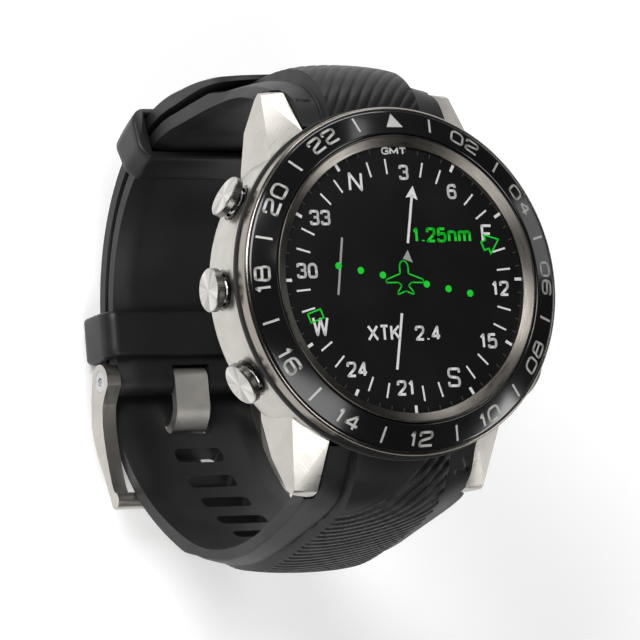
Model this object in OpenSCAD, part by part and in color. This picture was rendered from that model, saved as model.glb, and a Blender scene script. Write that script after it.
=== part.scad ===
// Wrist-worn aviation navigation watch, strap buckled in a closed loop.
// X points to 3 o'clock, Y to 12 o'clock, Z out through the dial.
// The origin is the centre of the case back's outer face, on the dial axis.

/* [Case] */
// Outer radius of the bezel skirt
bezel_r = 23; // [22.5:0.1:23.5]
// Outer radius of the case flank
case_r = 23; // [22.9:0.05:23]
// Height of the case top, where the bezel gasket starts
case_top = 9; // [8.9:0.05:9.1]
// Radius of the round cavity inside the case
cavity_r = 19.6; // [19.5:0.05:19.8]
// Radius of the case back plate
back_r = 18.4; // [18.2:0.1:18.4]
// Thickness of the case back plate
back_t = 1.5; // [1.3:0.1:1.5]
// Radius of the glass sensor window in the case back
sensor_r = 9.5; // [8.5:0.1:9.6]

/* [Bezel and lens] */
// Underside of the bezel skirt
skirt_z = 10; // [9.9:0.05:10.1]
// Top edge of the bezel skirt
skirt_top = 12.65; // [12.6:0.05:12.7]
// Highest point of the ceramic insert
insert_top = 14.2; // [14.1:0.05:14.3]
// Radius of the visible lens
lens_open_r = 17.55; // [17.4:0.05:17.7]
// Top face of the lens
lens_top = 12.9; // [12.8:0.05:12.95]
// Thickness of the lens
lens_t = 1.2; // [1:0.1:1.3]
// Radius of the display panel
display_r = 16.2; // [15.8:0.1:16.2]

/* [Pushers] */
// Height of the pusher axes above the case back
pusher_z = 5.76; // [5.7:0.02:5.8]
// Radius of a pusher head
head_r = 2.85; // [2.6:0.05:2.9]
// Distance from the dial axis to a pusher head's outer face
head_out = 24.97; // [24.9:0.01:25.05]
// Thickness of a pusher head
head_t = 1.12; // [1:0.02:1.14]
// Radius of a pusher stem
stem_r = 1; // [0.9:0.05:1]
// Inward travel of a pusher
pusher_travel = 0.7; // [0.5:0.05:0.7]

/* [Lugs and strap] */
// Clear width between a pair of lugs
lug_gap = 22; // [22:0.1:22.2]
// Distance of the strap pins from the dial axis
pin_y = 23.7; // [23.6:0.05:23.8]
// Height of the strap pins above the case back
pin_z = 4; // [3.8:0.1:4.1]
// Radius of the strap pins
strap_pin_r = 0.9; // [0.8:0.05:0.95]
// Half width of the strap along the wrist
strap_half = 11; // [10.8:0.05:11]
// Half width of the strap's shoulders below the lugs
shoulder_half = 12.8; // [12:0.1:13]
// Thickness of each strap layer at the back of the wrist
band_t = 2.6; // [2.4:0.05:2.6]
// Distance between neighbouring strap slots
slot_pitch = 5.5; // [5.3:0.05:5.6]
// Width of a strap slot across the strap
slot_w = 7.4; // [6.8:0.1:7.6]
// Length of a strap slot along the strap
slot_l = 2.6; // [2.2:0.1:2.8]

/* [Buckle and keepers] */
// Radius of the buckle pin
buckle_pin_r = 0.8; // [0.7:0.05:0.85]
// Radius of the rolled strap end around the buckle pin
roll_r = 2; // [1.9:0.05:2]
// Width of the buckle tongue
tongue_w = 5.2; // [4.6:0.1:5.4]
// Thickness of the buckle tongue
tongue_t = 1.4; // [1.2:0.05:1.4]
// Outer half width of the buckle frame
buckle_half = 13.5; // [13.4:0.1:13.8]
// Length of a keeper along the strap
keeper_l = 6.5; // [6:0.1:6.6]
// Outer half width of a keeper
keeper_half = 13.3; // [13.2:0.05:13.5]

/* [Hidden] */

$fn = 96;
eps = 0.01;
fit_gap = 0.05;                 // clearance round fixed and running fits
soft_gap = 0.15;                // clearance round the soft strap

// Pusher angles about the dial axis, counted from 3 o'clock
light_angle = 150;
up_angle = 180;
down_angle = 210;
start_angle = 30;
back_angle = -30;
pusher_angles = [light_angle, up_angle, down_angle, start_angle, back_angle];

// Case radius between the lugs, where the strap ends lie
case_end_r = 22.2;

// Pusher collars, stems, clips, seals and return springs
collar_r = 2.65;
collar_in = 19.9;
collar_out = head_out - head_t - pusher_travel - 0.1;
collar_floor = 21.4;            // where the spring pocket ends
pocket_r = 2.15;
stem_in = 18.4;                 // inner end of a stem at rest
clip_t = 0.25;
clip_at = cavity_r - 0.35;
clip_r = 1.7;
groove_r = 0.7;
seal_l = 0.55;
spring_turns = 2.5;
spring_mean_r = 1.6;
wire_r = 0.16;
wire_sides = 6;
rings_per_turn = 12;

// Case back screws and charging socket
screw_angles = [45, 135, 225, 315];
screw_r = 17.2;                 // distance of the screws from the dial axis
screw_head_r = 1;
screw_shank_r = 0.55;
socket_x = 13;                  // distance of the socket from the dial axis
contact_pitch = 1.6;

// Lugs, strap hooks and their latches
lug_tip_y = 26.9;
yoke_half = 8;
yoke_y = [22.75, 25.6];
yoke_z = [2.2, 5.2];
latch_half = 6;
latch_y = [22.9, 25];
latch_z = [0.65, 1.75];
latch_travel = 1.4;

// Back of the wrist: the two layers lie on arcs about one centre
arc_c = [3.9, -27.5];
upper_in_r = 24;
upper_out_r = upper_in_r + band_t;
tail_in_r = upper_out_r + 0.2;
tail_out_r = tail_in_r + band_t;
roll_c = [-3.05, -53.1];
arc_end = -90;                  // angle where the layers leave the arcs

// Spline through a short list of points, as an outline of the strap
function knot(p, i) =
    i < 0 ? 2 * p[0] - p[1] :
    i >= len(p) ? 2 * p[len(p) - 1] - p[len(p) - 2] : p[i];
function spline_point(p, i, t) =
    let (a = knot(p, i - 1), b = knot(p, i), c = knot(p, i + 1), d = knot(p, i + 2))
    0.5 * (2 * b + (c - a) * t + (2 * a - 5 * b + 4 * c - d) * t * t
        + (3 * b - a - 3 * c + d) * t * t * t);
function spline(p, steps = 6) = concat(
    [for (i = [0 : len(p) - 2], s = [0 : steps - 1]) spline_point(p, i, s / steps)],
    [p[len(p) - 1]]);
function arc(c, r, a0, a1, n = 30) =
    [for (i = [0 : n]) let (a = a0 + (a1 - a0) * i / n) c + r * [cos(a), sin(a)]];
function reversed(p) = [for (i = [len(p) - 1 : -1 : 0]) p[i]];

// Strap outlines in the YZ plane, from the lug end to the buckle end
upper_outer = spline([[21, 8.8], [25.2, 6.6], [28.1, 2.6], [30, -4.5], [30.9, -13],
    [30.9, -20], arc_c + [upper_out_r, 0]]);
upper_inner = spline([[21, 0.8], [24.4, 0.3], [26.8, -3.2], [28.2, -9.5], [28.4, -18],
    arc_c + [upper_in_r, 0]]);
lower_outer = spline([[-21, 8.6], [-25, 6.4], [-28.2, 2.2], [-30.8, -8], [-32.7, -19],
    [-31.7, -30], [-27.6, -39.3], [-21, -48.4], [-12.8, -54.5],
    roll_c + [0, -roll_r - 0.2 - band_t], arc_c + [0, -tail_out_r]]);
lower_inner = spline([[-21, 0.8], [-24.4, 0.3], [-26.8, -3.2], [-28.3, -9], [-30, -19],
    [-29.2, -29.1], [-25.5, -37.8], [-19.3, -46.4], [-11.8, -52.2],
    roll_c + [0, -roll_r - 0.2], arc_c + [0, -tail_in_r]]);
upper_crown = spline([[21, 9.5], [25.8, 8], [29.5, 4], [31.7, -2.5], [31.2, -8.3]]);
lower_crown = spline([[-21, 9.5], [-25.8, 7.8], [-29.8, 3.2], [-32.8, -8], [-34.5, -19], [-33.4, -28],
    [-30.6, -33.5]]);
crown_half = 7.8;               // half width of the raised, ribbed middle of the strap
tail_tip = [31.7, -9.5];
tail_outer = spline([arc_c + [tail_out_r, 0], [33.2, -20], tail_tip + [0.4, 0]]);
tail_inner = spline([arc_c + [tail_in_r, 0], [31.2, -20], [31.1, -13], tail_tip - [0.6, 0]]);

// Slots: middles and headings on the lower strap's middle line
slot_line = spline([[-30.9, -29.6], [-26.5, -38.6], [-20.1, -47.5], [-11.5, -53.5], [-9.9, -54.45]], 12);
slot_count = 6;
function along(p, d, i = 0) =
    let (step = norm(p[i + 1] - p[i]))
    d <= step || i >= len(p) - 2 ? p[i] + (p[i + 1] - p[i]) * d / step : along(p, d - step, i + 1);
slot_path = reversed(slot_line);
tongue_slot_l = 2.8;

// Buckle geometry in the YZ plane
crossbar_c = [-20.2, -51.2];
crossbar_r = 1.2;
arm_in = 11.4;                  // inner face of a buckle arm
arm_outline = concat(
    arc(roll_c, 2.5, 110, -60, 16),
    spline([[-5, -56.3], [-9.2, -56.8], [-13, -55.8], [-16.8, -53.9], [-20.2, -52.4]]),
    spline([[-20.4, -50], [-17.8, -51.7], [-11.6, -53.1], [-7.2, -53], [-5.2, -51.9]]));
tongue_mid = [[-5, -51.9], [-7.5, -52], [-9.4, -53.4], [-10.4, -55.4], [-12.4, -56.8], [-16.6, -55.4],
    [-21.2, -53.2]];

// Keepers: bands of one section round the strap's layers
keeper_wall = 1.15;
keeper_open_half = strap_half + soft_gap + 0.1;
keeper_chamfer = 1.6;
fixed_y = 0.2;                  // where the fixed keeper starts
fixed_z = [-58, -51];           // its opening, from bottom to top
keeper_angle = -24.6;           // where the loose keeper sits on the arc

// Colours
metal = "silver";
dark_metal = "dimgray";
ceramic = [0.08, 0.08, 0.09];
rubber = [0.13, 0.13, 0.14];
gasket = [0.05, 0.05, 0.05];
board_green = [0.05, 0.3, 0.15];
plastic = [0.2, 0.2, 0.22];

// A solid drawn in the YZ plane and given a width along X
module across(width, from = 0) {
    translate([from, 0, 0]) rotate([90, 0, 90]) linear_extrude(width) children();
}

// The same, wide enough to pass right through the strap and buckle
module right_across() {
    across(40, -20) children();
}

module ring(r_in, r_out, z0, z1) {
    translate([0, 0, z0]) difference() {
        cylinder(r = r_out, h = z1 - z0);
        translate([0, 0, -eps]) cylinder(r = r_in, h = z1 - z0 + 2 * eps);
    }
}

// Local Z runs outward along a pusher's axis, with 0 at the dial axis
module at_pusher(angle) {
    rotate([0, 0, angle]) translate([0, 0, pusher_z]) rotate([0, 90, 0]) children();
}

module at_lower_end() {
    mirror([0, 1, 0]) children();
}

// ---- Case ----

// Lug on the 12 o'clock side, between x = lug_gap / 2 and its outer edge;
// the ridge between its front and outer facets runs down from the bezel to the tip
module lug() {
    x_in = lug_gap / 2;
    plate = 0.02;
    hull() {
        across(plate, x_in) polygon([[15, 0.9], [22.5, 1], [26.2, 1.9], [lug_tip_y, 2.8],
            [26.4, 4.5], [20.4, 8.95], [15, 8.95]]);
        across(plate, x_in + 3.1) polygon([[24, 1.5], [25.8, 2.1], [26.5, 3.3], [26, 4.1], [24, 4.9]]);
        across(plate, x_in + 4.5) polygon([[15, 1], [17.7, 1], [17.7, 7.8], [15, 8.2]]);
        across(plate, x_in + 5.1) polygon([[14, 0.4], [16.3, 0.4], [21.4, 2.3], [20, 2.9], [14, 2.9]]);
    }
}

module lugs() {
    for (side = [0, 1], end = [0, 1])
        mirror([side, 0, 0]) mirror([0, end, 0]) lug();
}

module case_flank() {
    difference() {
        rotate_extrude() polygon([[0, 0], [case_r - 1.8, 0], [case_r - 0.8, 0.5], [case_r - 0.3, 1.6],
            [case_r, 3.4], [case_r, case_top - 0.7], [case_r - 0.3, case_top - 0.1],
            [case_r - 0.5, case_top], [0, case_top]]);
        difference() {
            translate([-lug_gap / 2, -case_r - 1, -1]) cube([lug_gap, 2 * case_r + 2, case_top + 2]);
            translate([0, 0, -2]) cylinder(r = case_end_r, h = case_top + 4);
        }
    }
}

module case_body() {
    floor_z = back_t + 0.4;
    color(metal) difference() {
        union() {
            case_flank();
            lugs();
        }
        translate([0, 0, floor_z + 0.8]) cylinder(r = cavity_r, h = case_top);
        translate([0, 0, floor_z]) cylinder(r = back_r - 1.9, h = case_top);
        translate([0, 0, -1]) cylinder(r = back_r + fit_gap, h = 1 + floor_z);
        for (angle = pusher_angles)
            at_pusher(angle) translate([0, 0, cavity_r - 1]) cylinder(r = collar_r, h = 10);
        for (end = [-1, 1])
            translate([-lug_gap / 2 - 2, end * pin_y, pin_z]) rotate([0, 90, 0])
                cylinder(r = strap_pin_r + fit_gap, h = lug_gap + 4);
        for (angle = screw_angles)
            rotate([0, 0, angle]) translate([screw_r, 0, 0])
                cylinder(r = screw_shank_r + fit_gap, h = floor_z + 1.6);
    }
}

module bezel_gasket() {
    color(gasket) ring(20, 22, case_top, skirt_z);
}

module bezel_ring() {
    seat_in = 19;
    color(metal) rotate_extrude() polygon([[seat_in, skirt_z], [bezel_r - 0.25, skirt_z],
        [bezel_r, skirt_z + 0.25], [bezel_r, skirt_top - 0.3], [bezel_r - 0.3, skirt_top],
        [bezel_r - 0.5, skirt_top], [bezel_r - 0.5, skirt_top - 0.65], [seat_in, insert_top - 1.05]]);
}

module bezel_insert() {
    outer = bezel_r - 0.53;
    inner = 19.1;
    color(ceramic) rotate_extrude() polygon([[outer, skirt_top - 0.6], [outer, skirt_top],
        [outer - 0.2, skirt_top + 0.16], [inner + 0.2, insert_top], [inner, insert_top - 0.1],
        [inner, insert_top - 1.02]]);
}

module lens_ring() {
    outer = 18.95;
    color(dark_metal) rotate_extrude() polygon([[outer, skirt_z], [outer, insert_top - 0.1],
        [outer - 0.2, insert_top - 0.05], [lens_open_r + 0.05, lens_top + 0.5],
        [lens_open_r, lens_top + 0.4], [lens_open_r, lens_top + 0.02], [18.25, lens_top + 0.02],
        [18.25, skirt_z]]);
}

module lens() {
    color([0.75, 0.85, 0.9, 0.35]) rotate_extrude() polygon([[0, lens_top - lens_t],
        [18.15, lens_top - lens_t], [18.15, lens_top], [0, lens_top]]);
}

module lens_gasket() {
    color(gasket) ring(display_r + 0.6, 18.2, lens_top - lens_t - 0.3, lens_top - lens_t);
}

module display_panel() {
    top = lens_top - lens_t - 0.02;
    color([0.02, 0.02, 0.03]) union() {
        translate([0, 0, top - 1.2]) cylinder(r = display_r, h = 1.2);
        translate([-5, -12, top - 2.1]) cube([10, 3, 0.91]);
    }
}

module dial_ring() {
    color([0.04, 0.04, 0.04]) ring(display_r + 0.1, 18.1, lens_top - lens_t - 1.4, lens_top - lens_t - 0.32);
}

module inner_frame() {
    bottom = back_t + 1.4;
    color(plastic) difference() {
        union() {
            ring(17.9, cavity_r - 0.2, bottom, case_top + 0.2);
            ring(16.9, cavity_r - 0.2, bottom + 5.55, bottom + 6.3);
        }
        for (angle = pusher_angles)
            at_pusher(angle) translate([0, 0, 15]) cylinder(r = 2.5, h = 6);
    }
}

module antenna_ring() {
    color("goldenrod") difference() {
        ring(17, 17.7, 9.25, 9.9);
        translate([-1, -20, 9]) cube([2, 6, 2]);
    }
}

module main_board() {
    top = 8.4;
    color(board_green) union() {
        translate([0, 0, top - 0.8]) cylinder(r = 16.7, h = 0.8);
        for (chip = [[-6, 2, 6, 6], [3, 3, 5, 5], [-9, -7, 4, 5], [4, -6, 7, 4]])
            translate([chip[0], chip[1], top - eps]) cube([chip[2], chip[3], 0.7]);
    }
}

module battery() {
    size = [24, 19, 4];
    corner = 3;
    color("steelblue") translate([0, 0.5, 3.2]) union() {
        translate([-size.x / 2 + corner, -size.y / 2, 0]) cube([size.x - 2 * corner, size.y, size.z]);
        translate([-size.x / 2, -size.y / 2 + corner, 0]) cube([size.x, size.y - 2 * corner, size.z]);
        for (x = [-1, 1], y = [-1, 1])
            translate([x * (size.x / 2 - corner), y * (size.y / 2 - corner), 0])
                cylinder(r = corner, h = size.z);
    }
}

module vibration_motor() {
    color(metal) translate([0, -12.6, 3.2]) cylinder(r = 3.1, h = 2.8);
}

module case_back() {
    color(dark_metal) difference() {
        cylinder(r = back_r, h = back_t);
        translate([0, 0, -eps]) cylinder(r = sensor_r + fit_gap, h = back_t + 1);
        for (angle = screw_angles) rotate([0, 0, angle]) translate([screw_r, 0, -eps]) {
            cylinder(r = screw_head_r + fit_gap, h = 0.7);
            cylinder(r = screw_shank_r + 0.1, h = back_t + 1);
        }
        translate([-socket_x - 2.1, -4.1, -eps]) cube([4.2, 8.2, back_t + 1]);
    }
}

module case_back_gasket() {
    color(gasket) ring(back_r - 0.55, back_r - 0.05, back_t, back_t + 0.38);
}

module case_back_screws() {
    color(metal) for (angle = screw_angles) rotate([0, 0, angle]) translate([screw_r, 0, 0.02])
        difference() {
            union() {
                cylinder(r = screw_head_r, h = 0.65);
                cylinder(r = screw_shank_r, h = 3.2);
            }
            translate([0, 0, -eps]) cylinder(r = 0.45, h = 0.4, $fn = 6);
        }
}

module sensor_window() {
    color([0.05, 0.05, 0.07]) rotate_extrude() polygon([[0, -0.5], [sensor_r - 1.6, -0.5],
        [sensor_r - 0.6, -0.25], [sensor_r, 0.1], [sensor_r, 1.1], [0, 1.1]]);
}

module sensor_board() {
    color(board_green) union() {
        translate([0, 0, 1.6]) cylinder(r = 8, h = 0.6);
        for (angle = [0 : 120 : 240])
            rotate([0, 0, angle]) translate([3.5, -0.8, 1.15]) cube([1.6, 1.6, 0.46]);
        translate([-1.2, -1.2, 1.15]) cube([2.4, 2.4, 0.46]);
    }
}

module charging_socket() {
    color(plastic) translate([-socket_x, 0, 0]) difference() {
        translate([-2, -4, 0.05]) cube([4, 8, 2.3]);
        translate([-1.4, -3.4, -1]) cube([2.8, 6.8, 2.2]);
        for (i = [-1.5 : 1 : 1.5])
            translate([0, i * contact_pitch, 0]) cylinder(r = 0.4, h = 5);
    }
}

module charging_contacts() {
    color("gold") for (i = [-1.5 : 1 : 1.5])
        translate([-socket_x, i * contact_pitch, 0.7]) cylinder(r = 0.38, h = 1.8);
}

// ---- Pushers ----

module pusher_collars() {
    color(metal) for (angle = pusher_angles) at_pusher(angle) difference() {
        union() {
            translate([0, 0, collar_in]) cylinder(r = collar_r - 0.02, h = collar_out - collar_in - 0.3);
            translate([0, 0, collar_out - 0.31]) cylinder(r = collar_r - 0.25, h = 0.31);
        }
        translate([0, 0, collar_in - 1]) cylinder(r = stem_r + fit_gap, h = 10);
        translate([0, 0, collar_floor]) cylinder(r = pocket_r, h = 10);
    }
}

module pusher_seals() {
    color(gasket) for (angle = pusher_angles) at_pusher(angle)
        translate([0, 0, collar_floor + 0.02]) difference() {
            cylinder(r = pocket_r - 0.05, h = seal_l);
            translate([0, 0, -eps]) cylinder(r = stem_r + 0.03, h = seal_l + 1);
        }
}

module pusher_switches() {
    color(dark_metal) for (angle = pusher_angles) at_pusher(angle) {
        translate([-1.2, -1.5, 16.4]) cube([2.4, 3, 0.8]);
        translate([0, 0, 17.19]) cylinder(r = 0.7, h = stem_in - pusher_travel - 17.19 - 0.06);
    }
}

module pusher(angle) {
    head_in = head_out - head_t;
    color(metal) at_pusher(angle) difference() {
        union() {
            translate([0, 0, stem_in]) cylinder(r = stem_r, h = head_in - stem_in + eps);
            rotate_extrude() polygon([[0, head_in], [head_r - 0.12, head_in], [head_r, head_in + 0.12],
                [head_r, head_out - 0.2], [head_r - 0.2, head_out - 0.02], [head_r - 0.45, head_out],
                [0, head_out]]);
        }
        translate([0, 0, clip_at - 0.02]) difference() {
            cylinder(r = stem_r + 1, h = clip_t + 0.04);
            translate([0, 0, -eps]) cylinder(r = groove_r, h = 1);
        }
    }
}

module clip(angle) {
    color(dark_metal) at_pusher(angle) translate([0, 0, clip_at]) difference() {
        cylinder(r = clip_r, h = clip_t);
        translate([0, 0, -eps]) cylinder(r = groove_r + 0.03, h = 1);
        translate([0, -0.6, -eps]) cube([3, 1.2, 1]);
    }
}

// Return spring: a tube swept along a helix, closed at both ends
module spring(angle) {
    z0 = collar_floor + seal_l + 0.1 + wire_r;
    z1 = head_out - head_t - 0.04 - wire_r;
    n = spring_turns * rings_per_turn;
    points = [for (i = [0 : n], k = [0 : wire_sides - 1])
        let (a = 360 * i / rings_per_turn, b = 360 * k / wire_sides,
            r = spring_mean_r + wire_r * cos(b))
        [r * cos(a), r * sin(a), z0 + (z1 - z0) * i / n + wire_r * sin(b)]];
    sides = [for (i = [0 : n - 1], k = [0 : wire_sides - 1])
        let (a = i * wire_sides + k, b = i * wire_sides + (k + 1) % wire_sides)
        [a, b, b + wire_sides, a + wire_sides]];
    ends = [[for (k = [wire_sides - 1 : -1 : 0]) k], [for (k = [0 : wire_sides - 1]) n * wire_sides + k]];
    color(metal) at_pusher(angle) polyhedron(points, concat(sides, ends));
}

module light_pusher() { pusher(light_angle); }
module up_pusher() { pusher(up_angle); }
module down_pusher() { pusher(down_angle); }
module start_pusher() { pusher(start_angle); }
module back_pusher() { pusher(back_angle); }
module light_clip() { clip(light_angle); }
module up_clip() { clip(up_angle); }
module down_clip() { clip(down_angle); }
module start_clip() { clip(start_angle); }
module back_clip() { clip(back_angle); }
module light_spring() { spring(light_angle); }
module up_spring() { spring(up_angle); }
module down_spring() { spring(down_angle); }
module start_spring() { spring(start_angle); }
module back_spring() { spring(back_angle); }

// ---- Strap ends ----

module strap_pin() {
    half = lug_gap / 2 + 1.9;
    color(metal) translate([-half, pin_y, pin_z]) rotate([0, 90, 0]) cylinder(r = strap_pin_r, h = 2 * half);
}

module upper_strap_pin() { strap_pin(); }
module lower_strap_pin() { at_lower_end() strap_pin(); }

// Hook moulded into the strap end; its mouth opens towards the wrist
module yoke() {
    color(dark_metal) difference() {
        translate([-yoke_half, yoke_y[0], yoke_z[0]])
            cube([2 * yoke_half, yoke_y[1] - yoke_y[0], yoke_z[1] - yoke_z[0]]);
        translate([-yoke_half - 1, pin_y, pin_z]) rotate([0, 90, 0])
            cylinder(r = strap_pin_r + fit_gap, h = 2 * yoke_half + 2);
        translate([-yoke_half - 1, pin_y - strap_pin_r - fit_gap, yoke_z[0] - 1])
            cube([2 * yoke_half + 2, 2 * (strap_pin_r + fit_gap), pin_z - yoke_z[0] + 1]);
    }
}

module upper_yoke() { yoke(); }
module lower_yoke() { at_lower_end() yoke(); }

// Sliding latch under the hook's mouth, with a thumb ridge on the wrist side
module latch() {
    color(metal) union() {
        translate([-latch_half, latch_y[0], latch_z[0]])
            cube([2 * latch_half, latch_y[1] - latch_y[0], latch_z[1] - latch_z[0]]);
        translate([-latch_half + 1, latch_y[1] - 0.8, latch_z[0] - 0.55])
            cube([2 * latch_half - 2, 0.6, 0.56]);
    }
}

module upper_latch() { latch(); }
module lower_latch() { at_lower_end() latch(); }

module strap_end_pockets() {
    g = soft_gap;
    translate([-yoke_half - g, 20, yoke_z[0] - g])
        cube([2 * (yoke_half + g), yoke_y[1] + g - 20, yoke_z[1] - yoke_z[0] + 2 * g]);
    translate([-latch_half - g, latch_y[0] - g, -3])
        cube([2 * (latch_half + g), latch_y[1] - latch_y[0] + latch_travel + 2 * g, yoke_z[0] + 3]);
    translate([-15, pin_y, pin_z]) rotate([0, 90, 0]) cylinder(r = strap_pin_r + g, h = 30);
    translate([0, 0, -2]) cylinder(r = case_end_r + 0.35, h = 20);
    lug_room();
}

// Outline of a strap half seen from 12 o'clock: narrow between the lugs,
// wider at the shoulders and narrow again round the wrist
module strap_width(bottom) {
    between = lug_gap / 2 - soft_gap;
    half = [[between, 12], [between, 3.5], [shoulder_half, 2.4], [shoulder_half, -3],
        [strap_half + 0.3, -13], [strap_half, -20], [strap_half, bottom]];
    rotate([90, 0, 0]) translate([0, 0, -60]) linear_extrude(120)
        polygon(concat(half, [for (p = reversed(half)) [-p.x, p.y]]));
}

// Room for the two lugs, so that the shoulders tuck under and in front of the tips
module lug_room() {
    for (side = [0, 1]) mirror([side, 0, 0])
        across(10, lug_gap / 2 - soft_gap)
            polygon([[10, 0.6], [22.6, 0.7], [lug_tip_y - 0.5, 1.6], [lug_tip_y + soft_gap, 2.6],
                [lug_tip_y + soft_gap, 12], [10, 12]]);
}

module strap_upper() {
    color(rubber) difference() {
        intersection() {
            right_across() union() {
                polygon(concat(upper_outer, arc(arc_c, upper_out_r, 0, arc_end),
                    [roll_c + [0, -roll_r], roll_c + [0, roll_r]],
                    arc(arc_c, upper_in_r, arc_end, 0), reversed(upper_inner)));
                translate(roll_c) circle(r = roll_r);
            }
            strap_width(-60);
        }
        strap_end_pockets();
        right_across() translate(roll_c) circle(r = buckle_pin_r + fit_gap);
        translate([-tongue_w / 2 - 0.3, roll_c.x - 3, roll_c.y - 3]) cube([tongue_w + 0.6, 5.1, 6]);
    }
    color(rubber) difference() {
        across(2 * crown_half, -crown_half)
            polygon(concat(upper_crown, [[29.5, -8.3], [28.5, -3], [21, 6]]));
        strap_end_pockets();
    }
    color(rubber) across(2.2, -1.1) translate([fixed_y - 0.6, arc_c.y - upper_in_r]) circle(r = 0.5);
}

module slot_cut(i) {
    d = i * slot_pitch;
    length = i == 0 ? tongue_slot_l : slot_l;
    p = along(slot_path, d);
    q = along(slot_path, d + 0.5);
    heading = atan2(q.y - p.y, q.x - p.x);
    corner = 0.8;
    translate([0, p.x, p.y]) rotate([heading, 0, 0]) translate([0, 0, -4]) {
        translate([-slot_w / 2, -length / 2 + corner, 0]) cube([slot_w, length - 2 * corner, 8]);
        translate([-slot_w / 2 + corner, -length / 2, 0]) cube([slot_w - 2 * corner, length, 8]);
        for (x = [-1, 1], y = [-1, 1])
            translate([x * (slot_w / 2 - corner), y * (length / 2 - corner), 0]) cylinder(r = corner, h = 8);
    }
}

// Free end of the strap, rounded as seen from outside the wrist
module tail_shape() {
    tip_round = 6;
    rotate([90, 0, 0]) translate([0, 0, -60]) linear_extrude(60 - 10)
        polygon(concat([[-strap_half, -80], [strap_half, -80]],
            [for (a = [0 : 6 : 180]) [strap_half * cos(a), tail_tip.y - tip_round + tip_round * sin(a)]]));
}

module strap_lower() {
    color(rubber) union() {
        difference() {
            intersection() {
                right_across() polygon(concat(lower_outer, reversed(lower_inner)));
                strap_width(-60);
            }
            at_lower_end() strap_end_pockets();
            for (i = [0 : slot_count - 1]) slot_cut(i);
        }
        difference() {
            across(2 * crown_half, -crown_half)
                polygon(concat(lower_crown, [[-30, -30], [-31, -19], [-29, -6], [-21, 6]]));
            at_lower_end() strap_end_pockets();
        }
        intersection() {
            across(2 * strap_half, -strap_half)
                polygon(concat(arc(arc_c, tail_out_r, -90, 0), tail_outer,
                    reversed(tail_inner), arc(arc_c, tail_in_r, 0, -90)));
            union() {
                tail_shape();
                translate([-20, -10, -60]) cube([40, 25, 30]);
            }
        }
    }
}

// ---- Buckle ----

module buckle_frame() {
    arm_t = buckle_half - arm_in;
    color(metal) difference() {
        union() {
            for (from = [-buckle_half, arm_in]) across(arm_t, from) polygon(arm_outline);
            across(2 * buckle_half, -buckle_half) translate(crossbar_c) circle(r = crossbar_r);
        }
        right_across() translate(roll_c) circle(r = buckle_pin_r + 0.02);
        for (side = [0, 1]) mirror([side, 0, 0])
            across(2, buckle_half - 0.9) translate(roll_c) circle(r = 1.52);
    }
}

module buckle_pin() {
    color(metal) across(2 * (buckle_half - 1), -buckle_half + 1) translate(roll_c) circle(r = buckle_pin_r);
}

module buckle_screws() {
    color(metal) for (side = [0, 1]) mirror([side, 0, 0]) difference() {
        across(0.85, buckle_half - 0.88) translate(roll_c) circle(r = 1.48);
        across(1, buckle_half - 0.4) translate(roll_c) circle(r = 0.7, $fn = 6);
    }
}

// Flat bar that follows a line of points in the YZ plane
function bar_side(p, i, side) =
    let (a = p[max(i - 1, 0)], b = p[min(i + 1, len(p) - 1)], d = (b - a) / norm(b - a))
    p[i] + side * tongue_t / 2 * [-d.y, d.x];

module buckle_tongue() {
    line = spline(tongue_mid, 8);
    n = len(line) - 1;
    color(metal) across(tongue_w, -tongue_w / 2) difference() {
        union() {
            translate(roll_c) circle(r = roll_r - 0.1);
            polygon(concat([roll_c + [0, roll_r - 0.1]],
                [for (i = [0 : n]) bar_side(line, i, -1)],
                [for (i = [n : -1 : 0]) bar_side(line, i, 1)], [roll_c]));
        }
        translate(roll_c) circle(r = buckle_pin_r + fit_gap);
    }
}

// ---- Keepers ----

// Six-sided band round a rectangular opening, X across and Y through the layers
module keeper_section(y0, y1) {
    bottom = y0 - keeper_wall;
    top = y1 + keeper_wall;
    flat = keeper_half - 1.3;
    difference() {
        polygon([[-flat, bottom], [flat, bottom], [keeper_half, bottom + keeper_chamfer],
            [keeper_half, top - keeper_chamfer], [flat, top], [-flat, top],
            [-keeper_half, top - keeper_chamfer], [-keeper_half, bottom + keeper_chamfer]]);
        translate([-keeper_open_half, y0]) square([2 * keeper_open_half, y1 - y0]);
    }
}

// Keeper beside the buckle, held there by the nub on the strap's inner face
module keeper_fixed() {
    color(rubber) translate([0, fixed_y + keeper_l, 0]) rotate([90, 0, 0])
        linear_extrude(keeper_l) keeper_section(fixed_z[0], fixed_z[1]);
}

module keeper_loose() {
    sweep = keeper_l / (upper_out_r) * 180 / PI;
    color(rubber) translate([0, arc_c.x, arc_c.y]) rotate([keeper_angle - sweep / 2, 0, 0])
        rotate([90, 0, 90]) rotate_extrude(angle = sweep) rotate([0, 0, -90])
            keeper_section(upper_in_r - soft_gap, tail_out_r + soft_gap);
}

case_body();
bezel_ring();
bezel_insert();
bezel_gasket();
lens_ring();
lens();
lens_gasket();
display_panel();
dial_ring();
inner_frame();
main_board();
battery();
vibration_motor();
antenna_ring();
case_back();
case_back_gasket();
case_back_screws();
sensor_window();
sensor_board();
charging_socket();
charging_contacts();
pusher_collars();
pusher_seals();
pusher_switches();
upper_strap_pin();
lower_strap_pin();
strap_upper();
strap_lower();
upper_yoke();
lower_yoke();
upper_latch();
lower_latch();
buckle_frame();
buckle_pin();
buckle_screws();
buckle_tongue();
keeper_fixed();
keeper_loose();
light_pusher();
up_pusher();
down_pusher();
start_pusher();
back_pusher();
light_clip();
up_clip();
down_clip();
start_clip();
back_clip();
light_spring();
up_spring();
down_spring();
start_spring();
back_spring();
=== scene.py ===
import math

import bmesh
import bpy
import numpy as np
from mathutils import Matrix, Vector


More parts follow.
